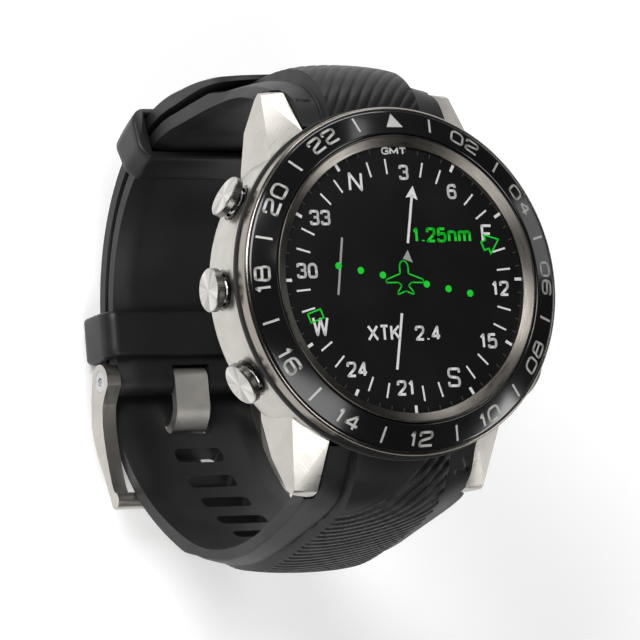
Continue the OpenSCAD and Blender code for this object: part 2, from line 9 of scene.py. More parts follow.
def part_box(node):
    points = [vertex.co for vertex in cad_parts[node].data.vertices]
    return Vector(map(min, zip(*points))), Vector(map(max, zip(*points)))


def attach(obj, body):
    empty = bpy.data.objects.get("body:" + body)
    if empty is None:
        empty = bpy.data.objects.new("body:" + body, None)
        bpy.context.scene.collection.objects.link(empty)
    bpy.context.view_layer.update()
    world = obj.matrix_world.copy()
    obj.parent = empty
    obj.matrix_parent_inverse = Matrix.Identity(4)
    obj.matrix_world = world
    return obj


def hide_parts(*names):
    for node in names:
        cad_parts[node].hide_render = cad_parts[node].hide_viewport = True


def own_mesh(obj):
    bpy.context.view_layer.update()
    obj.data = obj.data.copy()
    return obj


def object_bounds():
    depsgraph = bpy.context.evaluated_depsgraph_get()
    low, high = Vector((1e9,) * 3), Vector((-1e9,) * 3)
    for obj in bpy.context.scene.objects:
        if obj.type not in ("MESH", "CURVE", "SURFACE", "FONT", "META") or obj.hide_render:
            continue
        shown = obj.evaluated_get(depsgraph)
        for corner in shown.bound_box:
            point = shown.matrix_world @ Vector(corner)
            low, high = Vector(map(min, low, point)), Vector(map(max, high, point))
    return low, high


# Pilot's GPS watch with its strap buckled in a loop. Lengths below are in millimetres in the CAD
# frame (X to 3 o'clock, Y to 12 o'clock, Z out of the dial) and turn into metres in new_piece().

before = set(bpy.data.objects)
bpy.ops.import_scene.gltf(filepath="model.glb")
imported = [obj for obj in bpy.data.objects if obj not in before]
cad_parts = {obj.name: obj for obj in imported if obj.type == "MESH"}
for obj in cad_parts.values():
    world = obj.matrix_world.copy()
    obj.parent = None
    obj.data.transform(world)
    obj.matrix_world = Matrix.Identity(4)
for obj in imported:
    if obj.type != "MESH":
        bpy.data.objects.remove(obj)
cad_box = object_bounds()

MM = 0.001


def corner(node):
    """Lowest and highest corner of a CAD node, in millimetres."""
    low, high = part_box(node)
    return Vector(low) / MM, Vector(high) / MM


# ---------------------------------------------------------------- mesh helpers

def new_piece(name, points, faces, material, body=None, sharp=35, replaces=()):
    """A mesh piece from points in millimetres; without a body it is a cutter or a stage piece."""
    mesh = bpy.data.meshes.new(name)
    mesh.from_pydata([tuple(p) for p in np.asarray(points, float) * MM], [], faces)
    mesh.materials.append(material)
    piece = bpy.data.objects.new(name, mesh)
    bpy.context.scene.collection.objects.link(piece)
    finish_piece(piece, sharp)
    if body:
        place(piece, body, replaces)
    return piece


def finish_piece(piece, sharp):
    """Outward normals and smooth shading, with edges over the angle left sharp."""
    work = bmesh.new()
    work.from_mesh(piece.data)
    bmesh.ops.recalc_face_normals(work, faces=work.faces)
    work.to_mesh(piece.data)
    work.free()
    piece.data.shade_smooth()
    piece.data.set_sharp_from_angle(angle=math.radians(sharp))


def place(piece, body, replaces=()):
    """Makes a piece ride on a body and stand for CAD nodes, which it hides."""
    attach(piece, body)
    if replaces:
        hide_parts(*replaces)


def apply_modifiers(piece):
    """Replaces a piece's mesh by the result of its modifiers."""
    depsgraph = bpy.context.evaluated_depsgraph_get()
    result = bpy.data.meshes.new_from_object(piece.evaluated_get(depsgraph))
    piece.modifiers.clear()
    piece.data = result


def combine(piece, other, operation):
    """Joins a closed mesh to a piece, or takes it away, and uses the other mesh up."""
    modifier = piece.modifiers.new("combine", "BOOLEAN")
    modifier.operation = operation
    modifier.solver = "MANIFOLD"
    modifier.object = other
    apply_modifiers(piece)
    bpy.data.objects.remove(other)


def cut(piece, cutters, sharp=35):
    """Cuts closed meshes out of a piece."""
    for cutter in cutters:
        combine(piece, cutter, "DIFFERENCE")
    finish_piece(piece, sharp)


def round_edges(piece, width, angle=30, sharp=35):
    """Rounds a piece's sharp edges; width in millimetres."""
    work = bmesh.new()
    work.from_mesh(piece.data)
    bmesh.ops.remove_doubles(work, verts=work.verts, dist=0.002 * MM)
    bmesh.ops.dissolve_limit(work, angle_limit=math.radians(1.5), verts=work.verts, edges=work.edges)
    work.to_mesh(piece.data)
    work.free()
    modifier = piece.modifiers.new("round", "BEVEL")
    modifier.width = width * MM
    modifier.segments = 2
    modifier.limit_method = "ANGLE"
    modifier.angle_limit = math.radians(angle)
    modifier.use_clamp_overlap = True
    apply_modifiers(piece)
    finish_piece(piece, sharp)
    flatten = piece.modifiers.new("flatten", "WEIGHTED_NORMAL")
    flatten.mode = "FACE_AREA"
    flatten.weight = 100
    flatten.keep_sharp = True
    apply_modifiers(piece)


def copy_of(node, name, material):
    """A new piece with the same mesh as a CAD node."""
    piece = bpy.data.objects.new(name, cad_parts[node].data.copy())
    bpy.context.scene.collection.objects.link(piece)
    piece.data.materials.clear()
    piece.data.materials.append(material)
    return piece


def softened(name, node, material, body, width):
    """The same part as a CAD node, with its edges rounded."""
    piece = copy_of(node, name, material)
    round_edges(piece, width)
    place(piece, body, (node,))


def prism(outline, low, high, axis="x"):
    """A closed straight prism: an outline in the YZ plane along X, or in the XY plane along Z."""
    rings = [[(t, a, b) if axis == "x" else (a, b, t) for a, b in outline] for t in (low, high)]
    points, faces = stitched(rings)
    return new_piece("cutter", points, faces, rubber)


def rectangle(a0, a1, b0, b1):
    return [(a0, b0), (a1, b0), (a1, b1), (a0, b1)]


def circle(centre, radius, count=48):
    """Points round a circle, as an outline."""
    turns = [2 * math.pi * i / count for i in range(count)]
    return [(centre[0] + radius * math.cos(t), centre[1] + radius * math.sin(t)) for t in turns]


def stitched(rings):
    """Points and faces of a closed tube through equal rings of points."""
    rings = np.asarray(rings, float)
    count, around = rings.shape[:2]
    index = np.arange(count * around).reshape(count, around)
    following = np.roll(index, -1, axis=1)
    quads = np.stack([index[:-1], following[:-1], following[1:], index[1:]], axis=-1).reshape(-1, 4)
    ends = [index[0, ::-1].tolist(), index[-1].tolist()]
    return rings.reshape(-1, 3), quads.tolist() + ends


LATHE_SEGMENTS = 288


def lathe(name, profile, material, node):
    """A closed profile of (radius, height) points turned about the dial axis; stands for a CAD node."""
    segments = LATHE_SEGMENTS
    turns = np.linspace(0, 2 * np.pi, segments, endpoint=False)
    profile = np.asarray(profile, float)
    rings = np.stack([np.outer(np.cos(turns), profile[:, 0]), np.outer(np.sin(turns), profile[:, 0]),
                      np.tile(profile[:, 1], (segments, 1))], axis=-1)
    index = np.arange(segments * len(profile)).reshape(segments, len(profile))
    after = np.roll(index, -1, axis=0)
    beside = np.roll(index, -1, axis=1)
    quads = np.stack([index, after, np.roll(after, -1, axis=1), beside], axis=-1).reshape(-1, 4)
    return new_piece(name, rings.reshape(-1, 3), quads.tolist(), material, "case", replaces=(node,))


def rounded(outline, radius, steps=4, closed=True):
    """An outline with its corners turned into short curves. A point's third number is its own radius."""
    points = [np.array(p[:2], float) for p in outline]
    count = len(points)
    radii = [p[2] if len(p) > 2 else radius for p in outline]
    result = []
    for i, point in enumerate(points):
        if not closed and i in (0, count - 1) or radii[i] <= 0:
            result.append(point)
            continue
        before, after = points[i - 1] - point, points[(i + 1) % count] - point
        long_a, long_b = np.linalg.norm(before), np.linalg.norm(after)
        reach = min(radii[i], 0.5 * long_a, 0.5 * long_b)
        start, end = point + before / long_a * reach, point + after / long_b * reach
        for t in np.linspace(0, 1, steps + 1):
            result.append((1 - t) ** 2 * start + 2 * t * (1 - t) * point + t ** 2 * end)
    return np.array(result)


def spline(points, steps=8):
    """Smooth curve through a short list of points, the same as the CAD's."""
    points = [np.array(p, float) for p in points]
    ends = [2 * points[0] - points[1]] + points + [2 * points[-1] - points[-2]]
    result = []
    for a, b, c, d in zip(ends, ends[1:], ends[2:], ends[3:]):
        for t in np.arange(steps) / steps:
            result.append(0.5 * (2 * b + (c - a) * t + (2 * a - 5 * b + 4 * c - d) * t ** 2
                                 + (3 * b - a - 3 * c + d) * t ** 3))
    return np.array(result + [points[-1]])


def arc(centre, radius, start, end, count=48):
    """Points on an arc between two angles in degrees."""
    turns = np.radians(np.linspace(start, end, count))
    return np.stack([centre[0] + radius * np.cos(turns), centre[1] + radius * np.sin(turns)], axis=-1)


def lengths(path):
    """Distance from a path's start to each of its points."""
    return np.concatenate([[0], np.cumsum(np.linalg.norm(np.diff(path, axis=0), axis=1))])


def resample(path, shares):
    """Points at shares, from 0 to 1, of a path's length."""
    along = lengths(path)
    return np.stack([np.interp(np.asarray(shares) * along[-1], along, path[:, k]) for k in (0, 1)], axis=-1)


# ---------------------------------------------------------------- materials

PUSHER_ANGLES = {"light": 150, "up": 180, "down": 210, "start": 30, "back": -30}
PUSHER_HEIGHT = 5.76
PUSHER_END = 24.9       # distance of a pusher's end face from the dial axis


def new_material(name, colour, metallic=0.0, roughness=0.5, **sockets):
    """A Principled material; sockets are constants by socket name, with _ for a space."""
    material = bpy.data.materials.new(name)
    material.use_nodes = True
    nodes, links = material.node_tree.nodes, material.node_tree.links
    shader = nodes["Principled BSDF"]
    shader.inputs["Base Color"].default_value = (*colour, 1)
    shader.inputs["Metallic"].default_value = metallic
    shader.inputs["Roughness"].default_value = roughness
    for socket, value in sockets.items():
        shader.inputs[socket.replace("_", " ")].default_value = value
    return material, nodes, links, shader


def texture_space(nodes, links, scale=(1, 1, 1), rotation=(0, 0, 0), location=(0, 0, 0)):
    """The piece's own coordinates in millimetres, stretched by scale."""
    coordinates = nodes.new("ShaderNodeTexCoord")
    mapping = nodes.new("ShaderNodeMapping")
    mapping.inputs["Scale"].default_value = [s / MM for s in scale]
    mapping.inputs["Rotation"].default_value = rotation
    mapping.inputs["Location"].default_value = location
    links.new(coordinates.outputs["Object"], mapping.inputs["Vector"])
    return mapping.outputs["Vector"]


def noise(nodes, links, space, scale, detail):
    """A cloudy texture, with scale in cells a millimetre."""
    texture = nodes.new("ShaderNodeTexNoise")
    texture.inputs["Scale"].default_value = scale
    texture.inputs["Detail"].default_value = detail
    links.new(space, texture.inputs["Vector"])
    return texture.outputs["Fac"]


def spread(nodes, links, value, low, high, start=0.3, stop=0.7):
    """Maps a texture's value to a range."""
    remap = nodes.new("ShaderNodeMapRange")
    remap.inputs["From Min"].default_value = start
    remap.inputs["From Max"].default_value = stop
    remap.inputs["To Min"].default_value = low
    remap.inputs["To Max"].default_value = high
    links.new(value, remap.inputs["Value"])
    return remap.outputs["Result"]


def tint(nodes, links, value, dark, light, socket):
    """Mixes two colours by a texture's value into a colour socket."""
    ramp = nodes.new("ShaderNodeValToRGB")
    ramp.color_ramp.elements[0].position = 0.3
    ramp.color_ramp.elements[1].position = 0.7
    ramp.color_ramp.elements[0].color = (*dark, 1)
    ramp.color_ramp.elements[1].color = (*light, 1)
    links.new(value, ramp.inputs["Fac"])
    links.new(ramp.outputs["Color"], socket)


def bump(nodes, links, shader, value, strength, distance):
    """Fine relief; distance in millimetres."""
    relief = nodes.new("ShaderNodeBump")
    relief.inputs["Strength"].default_value = strength
    relief.inputs["Distance"].default_value = distance * MM
    links.new(value, relief.inputs["Height"])
    links.new(relief.outputs["Normal"], shader.inputs["Normal"])


def brushed_metal(name, colour, roughness, grain=(0.4, 12, 0.4), depth=0.004, swing=0.07):
    """Metal with fine parallel grain, long where the grain scale is low."""
    material, nodes, links, shader = new_material(name, colour, 1.0, roughness)
    lines = noise(nodes, links, texture_space(nodes, links, grain), 1.0, 3.0)
    clouds = noise(nodes, links, texture_space(nodes, links), 0.35, 3.0)
    dark = [c * 0.93 for c in colour]
    light = [min(1, c * 1.05) for c in colour]
    tint(nodes, links, clouds, dark, light, shader.inputs["Base Color"])
    links.new(spread(nodes, links, lines, roughness - swing, roughness + swing),
              shader.inputs["Roughness"])
    bump(nodes, links, shader, lines, 0.5, depth)
    return material


def moulded(name, colour, roughness, grain=9.0, depth=0.006, **sockets):
    """Moulded rubber or plastic: faint clouds of colour and a fine pebbled skin."""
    material, nodes, links, shader = new_material(name, colour, 0.0, roughness, **sockets)
    clouds = noise(nodes, links, texture_space(nodes, links), 0.12, 5.0)
    skin = noise(nodes, links, texture_space(nodes, links), grain, 2.0)
    tint(nodes, links, clouds, [c * 0.85 for c in colour], [c * 1.15 for c in colour],
         shader.inputs["Base Color"])
    swing = min(0.06, 0.2 * roughness)
    links.new(spread(nodes, links, clouds, roughness - swing, roughness + swing),
              shader.inputs["Roughness"])
    bump(nodes, links, shader, skin, 0.35, depth)
    return material


def turned_finish_painted_glints(name, colour, roughness, angle):
    """Metal of a pusher's head: fine turned grain in roughness and bump, a painted sunburst reflection of
    soft sectors on its end face, and sides painted darker as shade.
    """
    material, nodes, links, shader = new_material(name, colour, 1.0, roughness, Anisotropic=0.75)
    turn = texture_space(nodes, links, rotation=(0, 0, -math.radians(angle)),
                         location=(0, 0, -PUSHER_HEIGHT))
    split = nodes.new("ShaderNodeSeparateXYZ")
    links.new(turn, split.inputs["Vector"])
    around = nodes.new("ShaderNodeMath")
    around.operation = "ARCTAN2"
    links.new(split.outputs["Z"], around.inputs[0])
    links.new(split.outputs["Y"], around.inputs[1])
    # Painted reflection: bright and dark sectors of a sunburst, put into the end face's colour.
    fan = nodes.new("ShaderNodeTexNoise")
    fan.noise_dimensions = "1D"
    fan.inputs["Scale"].default_value = 1.3
    fan.inputs["Detail"].default_value = 1.0
    links.new(around.outputs["Value"], fan.inputs["W"])
    painted_wedge_glints = nodes.new("ShaderNodeValToRGB")
    painted_wedge_glints.color_ramp.elements[0].position = 0.35
    painted_wedge_glints.color_ramp.elements[1].position = 0.65
    painted_wedge_glints.color_ramp.elements[0].color = (*[c * 0.55 for c in colour], 1)
    painted_wedge_glints.color_ramp.elements[1].color = (*colour, 1)
    links.new(fan.outputs["Fac"], painted_wedge_glints.inputs["Fac"])
    # Painted shade: the sides take a darker copy of the metal's colour than the end face.
    end_face = spread(nodes, links, split.outputs["X"], 0, 1, PUSHER_END - 0.15, PUSHER_END)
    blend = nodes.new("ShaderNodeMix")
    blend.data_type = "RGBA"
    painted_shade_side, end_colour, result = blend.inputs[6], blend.inputs[7], blend.outputs[2]
    painted_shade_side.default_value = (*[c * 0.3 for c in colour], 1)
    links.new(end_face, blend.inputs["Factor"])
    links.new(painted_wedge_glints.outputs["Color"], end_colour)
    links.new(result, shader.inputs["Base Color"])
    fine = nodes.new("ShaderNodeTexNoise")
    fine.noise_dimensions = "1D"
    fine.inputs["Scale"].default_value = 22.0
    links.new(around.outputs["Value"], fine.inputs["W"])
    links.new(spread(nodes, links, fine.outputs["Fac"], roughness - 0.06, roughness + 0.1),
              shader.inputs["Roughness"])
    bump(nodes, links, shader, fine.outputs["Fac"], 0.4, 0.01)
    return material


def glowing(name, colour, strength):
    """Ink of the lit display: bright, with a faint mottle."""
    material, nodes, links, shader = new_material(name, colour, 0.0, 0.35, Emission_Strength=strength)
    clouds = noise(nodes, links, texture_space(nodes, links), 1.5, 2.0)
    tint(nodes, links, clouds, [c * 0.93 for c in colour], colour, shader.inputs["Base Color"])
    tint(nodes, links, clouds, [c * 0.93 for c in colour], colour, shader.inputs["Emission Color"])
    return material


titanium = brushed_metal("titanium_satin", (0.47, 0.45, 0.415), 0.33, grain=(0.5, 0.5, 14), depth=0.002)
bezel_steel = brushed_metal("bezel_steel", (0.27, 0.245, 0.22), 0.2, grain=(0.4, 0.4, 16), swing=0.05)
ring_steel = brushed_metal("lens_ring_steel", (0.12, 0.11, 0.098), 0.32, grain=(0.4, 0.4, 16))
arm_steel = brushed_metal("arm_steel", (0.50, 0.475, 0.44), 0.36, grain=(16, 0.5, 0.5), depth=0.0015)
# The tongue's steel is painted brighter than the arms' steel: painted light on the tongue where it lies in
# shade inside the loop.
tongue_steel_painted_light = brushed_metal("tongue_steel_painted_light", (0.80, 0.77, 0.72), 0.46, grain=(16, 0.5, 0.5), depth=0.0015)
collar_steel = brushed_metal("collar_steel", (0.2, 0.185, 0.165), 0.26, grain=(0.4, 0.4, 12))
pin_steel = brushed_metal("pin_steel", (0.55, 0.55, 0.55), 0.3, grain=(0.5, 9, 9))
rubber = moulded("strap_rubber", (0.010, 0.010, 0.0105), 0.46, Specular_IOR_Level=0.27)
keeper_rubber = moulded("keeper_rubber", (0.010, 0.010, 0.011), 0.38, grain=12.0, Specular_IOR_Level=0.3)
seal = moulded("seal_rubber", (0.012, 0.012, 0.012), 0.6)
plastic = moulded("dark_plastic", (0.05, 0.05, 0.055), 0.5)
back_plastic = moulded("case_back_polymer", (0.045, 0.045, 0.05), 0.42, grain=14.0)
board_green = moulded("board_green", (0.02, 0.13, 0.05), 0.45, grain=3.0)
foil = moulded("battery_wrap", (0.12, 0.2, 0.3), 0.35, grain=2.0)
gold = brushed_metal("gold_plate", (0.83, 0.62, 0.28), 0.25)
ceramic = moulded("ceramic_black", (0.006, 0.006, 0.0065), 0.14, grain=3.0, depth=0.0004)
sensor_glass = moulded("sensor_glass", (0.01, 0.01, 0.014), 0.12, grain=2.0, depth=0.0005)
screen = moulded("screen_black", (0.004, 0.004, 0.005), 0.3)
glass = moulded("lens_glass", (0.008, 0.008, 0.0085), 0.14, grain=2.0, depth=0.0, IOR=1.5)
numeral_paint = moulded("numeral_inlay", (0.42, 0.42, 0.40), 0.45, grain=6.0, Metallic=0.3)
white_ink = glowing("display_white", (0.40, 0.40, 0.395), 0.6)
grey_ink = glowing("display_grey", (0.19, 0.19, 0.185), 0.5)
faint_ink = glowing("display_faint", (0.045, 0.042, 0.036), 0.2)
green_ink = glowing("display_green", (0.004, 0.33, 0.015), 0.7)
black_ink = glowing("display_black", (0.003, 0.003, 0.003), 0.0)

NODE_MATERIALS = {
    "case_body": titanium, "bezel_ring": bezel_steel, "bezel_insert": ceramic, "bezel_gasket": seal,
    "lens_ring": ring_steel, "lens": glass, "lens_gasket": seal, "display_panel": screen,
    "dial_ring": screen, "inner_frame": plastic, "main_board": board_green, "battery": foil,
    "vibration_motor": pin_steel, "antenna_ring": gold, "case_back": back_plastic,
    "case_back_gasket": seal, "case_back_screws": pin_steel, "sensor_window": sensor_glass,
    "sensor_board": board_green, "charging_socket": plastic, "charging_contacts": gold,
    "pusher_collars": collar_steel, "pusher_seals": seal, "pusher_switches": plastic,
    "upper_strap_pin": pin_steel, "lower_strap_pin": pin_steel, "strap_upper": rubber,
    "strap_lower": rubber, "upper_yoke": collar_steel, "lower_yoke": collar_steel,
    "upper_latch": pin_steel, "lower_latch": pin_steel, "buckle_frame": arm_steel,
    "buckle_pin": pin_steel, "buckle_screws": pin_steel, "buckle_tongue": tongue_steel_painted_light,
    "keeper_fixed": keeper_rubber, "keeper_loose": keeper_rubber,
}
for pusher_name, pusher_angle in PUSHER_ANGLES.items():
    NODE_MATERIALS[pusher_name + "_pusher"] = turned_finish_painted_glints(
        pusher_name + "_pusher_metal", (0.62, 0.60, 0.565), 0.28, pusher_angle)
    NODE_MATERIALS[pusher_name + "_clip"] = pin_steel
    NODE_MATERIALS[pusher_name + "_spring"] = pin_steel

for node_name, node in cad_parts.items():
    node.data.materials.clear()
    node.data.materials.append(NODE_MATERIALS[node_name])


# ---------------------------------------------------------------- strap

ARC_C = np.array([3.9, -27.5])      # centre of the loop's round part, in the YZ plane
BAND_T = 2.6
LAYER_GAP = 0.2                     # between the tail and the strap under it
UPPER_IN_R = 24.0
UPPER_OUT_R = UPPER_IN_R + BAND_T
TAIL_IN_R = UPPER_OUT_R + LAYER_GAP
TAIL_OUT_R = TAIL_IN_R + BAND_T
ROLL_C = np.array([-3.05, -53.1])   # the buckle's pin, with the strap end rolled round it
ROLL_R = 2.0
BUCKLE_PIN_R = 0.8
BUCKLE_PIN_GAP = 0.05
TAIL_TIP = np.array([31.7, -9.5])
STRAP_HALF = 11.0
LUG_GAP_HALF = 11.0
PIN = (23.7, 4.0)
STRAP_PIN_R = 0.9
LATCH_TRAVEL = 1.4
CASE_END_R = 22.2
CASE_END_GAP = 0.35
LUG_OUTLINE = [(10, 0.6), (22.6, 0.7), (26.4, 1.6), (27.05, 2.6), (27.05, 12), (10, 12)]
SOFT_GAP = 0.15

UPPER_OUTER = [[21, 8.8], [25.2, 6.6], [28.1, 2.6], [30, -4.5], [30.9, -13], [30.9, -20],
               ARC_C + [UPPER_OUT_R, 0]]
UPPER_INNER = [[21, 0.8], [24.4, 0.3], [26.8, -3.2], [28.2, -9.5], [28.4, -18], ARC_C + [UPPER_IN_R, 0]]
LOWER_OUTER = [[-21, 8.6], [-25, 6.4], [-28.2, 2.2], [-30.8, -8], [-32.7, -19], [-31.7, -30],
               [-27.6, -39.3], [-21, -48.4], [-12.8, -54.5], ROLL_C + [0, -ROLL_R - LAYER_GAP - BAND_T],
               ARC_C + [0, -TAIL_OUT_R]]
LOWER_INNER = [[-21, 0.8], [-24.4, 0.3], [-26.8, -3.2], [-28.3, -9], [-30, -19], [-29.2, -29.1],
               [-25.5, -37.8], [-19.3, -46.4], [-11.8, -52.2], ROLL_C + [0, -ROLL_R - LAYER_GAP],
               ARC_C + [0, -TAIL_IN_R]]
TAIL_OUTER = [ARC_C + [TAIL_OUT_R, 0], [33.2, -20], TAIL_TIP + [0.4, 0]]
TAIL_INNER = [ARC_C + [TAIL_IN_R, 0], [31.2, -20], [31.1, -13], TAIL_TIP - [0.6, 0]]

FIELD_HALF = 7.4        # half width of the strap's raised field
RIB_HALF = 6.9          # half width that the ribs reach
RIB_PITCH = 1.25
CREASE_DEPTH = 0.14     # crease along each border of the field
CREASE_HALF = 0.16
BORDER_DROP = 0.9       # how far the borders slope down by BORDER_END
BORDER_END = 12.5
FINE_STEP = 0.2
COARSE_STEP = 0.7
OUTER_COLUMNS = 119
INNER_COLUMNS = 41
EDGE_ROUND = 0.35
BEVEL_W = 3.4           # bevel along the wrist side's edges
BEVEL_T = 0.85

UPPER_FIELD_L = 30
LOWER_FIELD_L = 50
FIELD_MARGIN = 2        # the mesh stays fine this far past the field

# (distance from the case, height of the raised field)
UPPER_CROWN = [(0, 0.8), (4.7, 1.6), (10, 2.2), (14, 2.2), (20, 1.3), (27, 0.3), (UPPER_FIELD_L, 0)]
LOWER_CROWN = [(0, 0.6), (4.6, 1.4), (10, 1.7), (20, 1.9), (31, 1.7), (41, 1.0), (LOWER_FIELD_L, 0)]

# Ribs lie on arcs; places are (across the strap, distance from the case)
UPPER_RIBS = {"centre": (30, -20.6), "first": 30, "depth": 0.09}
LOWER_RIBS = {"centre": (-35.4, -32), "first": 50.6, "depth": 0.44}


def smooth_step(value, low, high):
    """Rises smoothly from 0 at low to 1 at high."""
    t = np.clip((value - low) / (high - low), 0, 1)
    return t * t * (3 - 2 * t)


def strap_half_width(depth):
    """Half width by height: shoulders under the lugs, then a gentle taper."""
    return np.interp(-np.asarray(depth), [-2, 4, 10, 20], [12.0, 11.4, 11.1, STRAP_HALF])


def crown_height(along, knots):
    """How far the middle of the strap stands above its borders, by distance from the case."""
    places, heights = np.array(knots, float).T
    return np.interp(along, places, heights)


def ribs(across, along, centre, first, depth):
    """Fine grooves on arcs about a centre, from a first radius outwards."""
    radius = np.hypot(across - centre[0], along - centre[1])
    wave = 0.5 + 0.5 * np.cos(2 * np.pi * (radius - first) / RIB_PITCH)
    ends = 1 - smooth_step(np.abs(across), RIB_HALF - 0.25, RIB_HALF + 0.1)
    return -depth * ends * smooth_step(wave, 0.55, 0.95) * smooth_step(radius, first - 0.4, first + 2.0)


def strap_relief(across, along, crown, flat_share, field_end):
    """Height of the raised field over the strap's outline, with a crease along each border, and
    how much a point belongs to the field. The field fades out before its end."""
    arch = np.sqrt(np.clip(1 - (across / (FIELD_HALF + 0.4)) ** 2, 0, 1))
    field = 1 - smooth_step(np.abs(across), FIELD_HALF - 0.5, FIELD_HALF)
    crease = -CREASE_DEPTH * np.exp(-((np.abs(across) - FIELD_HALF) / CREASE_HALF) ** 2)
    slope = -BORDER_DROP * smooth_step(np.abs(across), FIELD_HALF, BORDER_END) * smooth_step(along, 4, 9)
    near = 1 - smooth_step(along, field_end - 5, field_end)
    return crown * field * (flat_share + (1 - flat_share) * arch) + near * (crease + slope), field * near


def stroke_groove(across, along, a, b, half=0.17, depth=0.16):
    """A short moulded line on the strap's border, from a to b."""
    offset = np.stack([across - a[0], np.full_like(across, along - a[1])], axis=-1)
    line = np.array(b, float) - a
    share = np.clip((offset @ line) / (line @ line), 0, 1)
    distance = np.linalg.norm(offset - share[..., None] * line, axis=-1)
    return -depth * (1 - smooth_step(distance, half, half + 0.14))


def strap_surface(name, outer, inner, half, relief, fine_length):
    """A band between two outlines in the YZ plane. half(share, point) is its half width, and
    relief(x, s) raises the outer face. Stations are close over the fine length, where the ribs are."""
    total = lengths(outer)[-1]
    coarse = np.linspace(fine_length, total, int((total - fine_length) / COARSE_STEP))
    stations = np.concatenate([np.arange(0, fine_length, FINE_STEP), coarse]) / total
    out_path, in_path = resample(outer, stations), resample(inner, stations)
    tangent = np.gradient(out_path, axis=0)
    tangent /= np.linalg.norm(tangent, axis=1)[:, None]
    normal = np.stack([-tangent[:, 1], tangent[:, 0]], axis=-1)
    normal *= np.sign(np.sum(normal * (out_path - in_path), axis=1))[:, None]
    across_outer = np.linspace(-1, 1, OUTER_COLUMNS)
    across_inner = np.linspace(1, -1, INNER_COLUMNS)
    rings = []
    for i, share in enumerate(stations):
        wide = half(share, out_path[i])
        thick = np.linalg.norm(out_path[i] - in_path[i])
        soften = min(EDGE_ROUND, 0.3 * wide)
        x = across_outer * (wide - 0.02)
        edge = np.clip((np.abs(x) - (wide - soften)) / soften, 0, 1)
        lift = relief(x, share * total) - soften * (1 - np.sqrt(1 - edge ** 2)) * 0.9
        face = out_path[i] + normal[i] * lift[:, None]
        ring = [np.column_stack([x, face])]
        x = across_inner * wide
        bevel_width = min(BEVEL_W, 0.6 * wide)
        bevel = np.clip((np.abs(x) - (wide - bevel_width)) / bevel_width, 0, 1)
        rise = min(BEVEL_T, 0.4 * thick) * smooth_step(bevel, 0, 1.6) * 1.6
        toward = (out_path[i] - in_path[i]) / thick
        ring.append(np.column_stack([x, in_path[i] + toward * rise[:, None]]))
        rings.append(np.concatenate(ring))
    points, faces = stitched(rings)
    return new_piece(name, points, faces, rubber)


def strap_end_cutters(side):
    """Room for the case, lugs, pin, hook and latch at a strap end; side is 1 at 12 o'clock."""
    low, high = corner("upper_yoke")
    yoke = rectangle(20 * side, side * (high.y + SOFT_GAP), low.z - SOFT_GAP, high.z + SOFT_GAP)
    latch_low, latch_high = corner("upper_latch")
    latch = rectangle(side * (latch_low.y - SOFT_GAP), side * (latch_high.y + LATCH_TRAVEL + SOFT_GAP),
                      -3, low.z)
    lug = [(side * y, z) for y, z in LUG_OUTLINE]
    cutters = [prism(yoke, -high.x - SOFT_GAP, high.x + SOFT_GAP),
               prism(latch, -latch_high.x - SOFT_GAP, latch_high.x + SOFT_GAP),
               prism(circle((side * PIN[0], PIN[1]), STRAP_PIN_R + SOFT_GAP), -15, 15),
               prism(circle((0, 0), CASE_END_R + CASE_END_GAP, 256), -2, 18, "z")]
    cutters += [prism(lug, *sorted((x * (LUG_GAP_HALF - SOFT_GAP), x * 20))) for x in (-1, 1)]
    return cutters


def upper_strap():
    """The half at 12 o'clock, with its end rolled round the buckle's pin."""
    outer = np.concatenate([spline(UPPER_OUTER)[:-1], arc(ARC_C, UPPER_OUT_R, 0, -90),
                            [ROLL_C + [2.2, -ROLL_R - 0.15]], arc(ROLL_C, ROLL_R, -90, -180, 12)])
    inner = np.concatenate([spline(UPPER_INNER)[:-1], arc(ARC_C, UPPER_IN_R, 0, -90),
                            [ROLL_C + [2.4, ROLL_R - 0.1]], arc(ROLL_C, ROLL_R, 90, 170, 12)])

    def half(share, point):
        return strap_half_width(point[1]) if share < 0.5 else STRAP_HALF

    def relief(x, s):
        crown = crown_height(s, UPPER_CROWN)
        height, field = strap_relief(x, s, crown, 0.5, UPPER_FIELD_L)
        mark = stroke_groove(x, s, (-10.1, 4.4), (-8.3, 4.2))
        return height + field * ribs(x, s, **UPPER_RIBS) + mark

    strap = strap_surface("strap_buckle_side", outer, inner, half, relief,
                          UPPER_FIELD_L + FIELD_MARGIN)
    low, high = corner("buckle_tongue")
    window = rectangle(ROLL_C[0] - 3, ROLL_C[0] + 2.1, ROLL_C[1] - 3, ROLL_C[1] + 3)
    cutters = strap_end_cutters(1)
    cutters.append(prism(circle(ROLL_C, BUCKLE_PIN_R + BUCKLE_PIN_GAP), -15, 15))
    cutters.append(prism(window, low.x - 0.3, high.x + 0.3))
    cut(strap, cutters)
    place(strap, "case", ("strap_upper",))


SLOT_LINE = [[-30.9, -29.6], [-26.5, -38.6], [-20.1, -47.5], [-11.5, -53.5], [-9.9, -54.45]]
SLOT_COUNT = 6
SLOT_PITCH = 5.5
SLOT_W = 7.4
SLOT_L = 2.6
TONGUE_SLOT_L = 2.8
SLOT_LOOK_AHEAD = 0.5
TAIL_TIP_ROUND = 6.0


def slot_cutters():
    """Rounded slots on the strap's middle line, the first under the tongue."""
    line = spline(SLOT_LINE, 16)[::-1]
    along = lengths(line)
    cutters = []
    for i in range(SLOT_COUNT):
        middle, ahead = (np.array([np.interp(i * SLOT_PITCH + d, along, line[:, k]) for k in (0, 1)])
                         for d in (0, SLOT_LOOK_AHEAD))
        heading = (ahead - middle) / SLOT_LOOK_AHEAD
        normal = np.array([-heading[1], heading[0]])
        length = TONGUE_SLOT_L if i == 0 else SLOT_L
        shape = rounded(rectangle(-SLOT_W / 2, SLOT_W / 2, -length / 2, length / 2), 0.9, 5)
        rings = [[(x, *(middle + heading * s + normal * t)) for x, s in shape] for t in (-4, 4)]
        points, faces = stitched(rings)
        cutters.append(new_piece("cutter", points, faces, rubber))
    return cutters


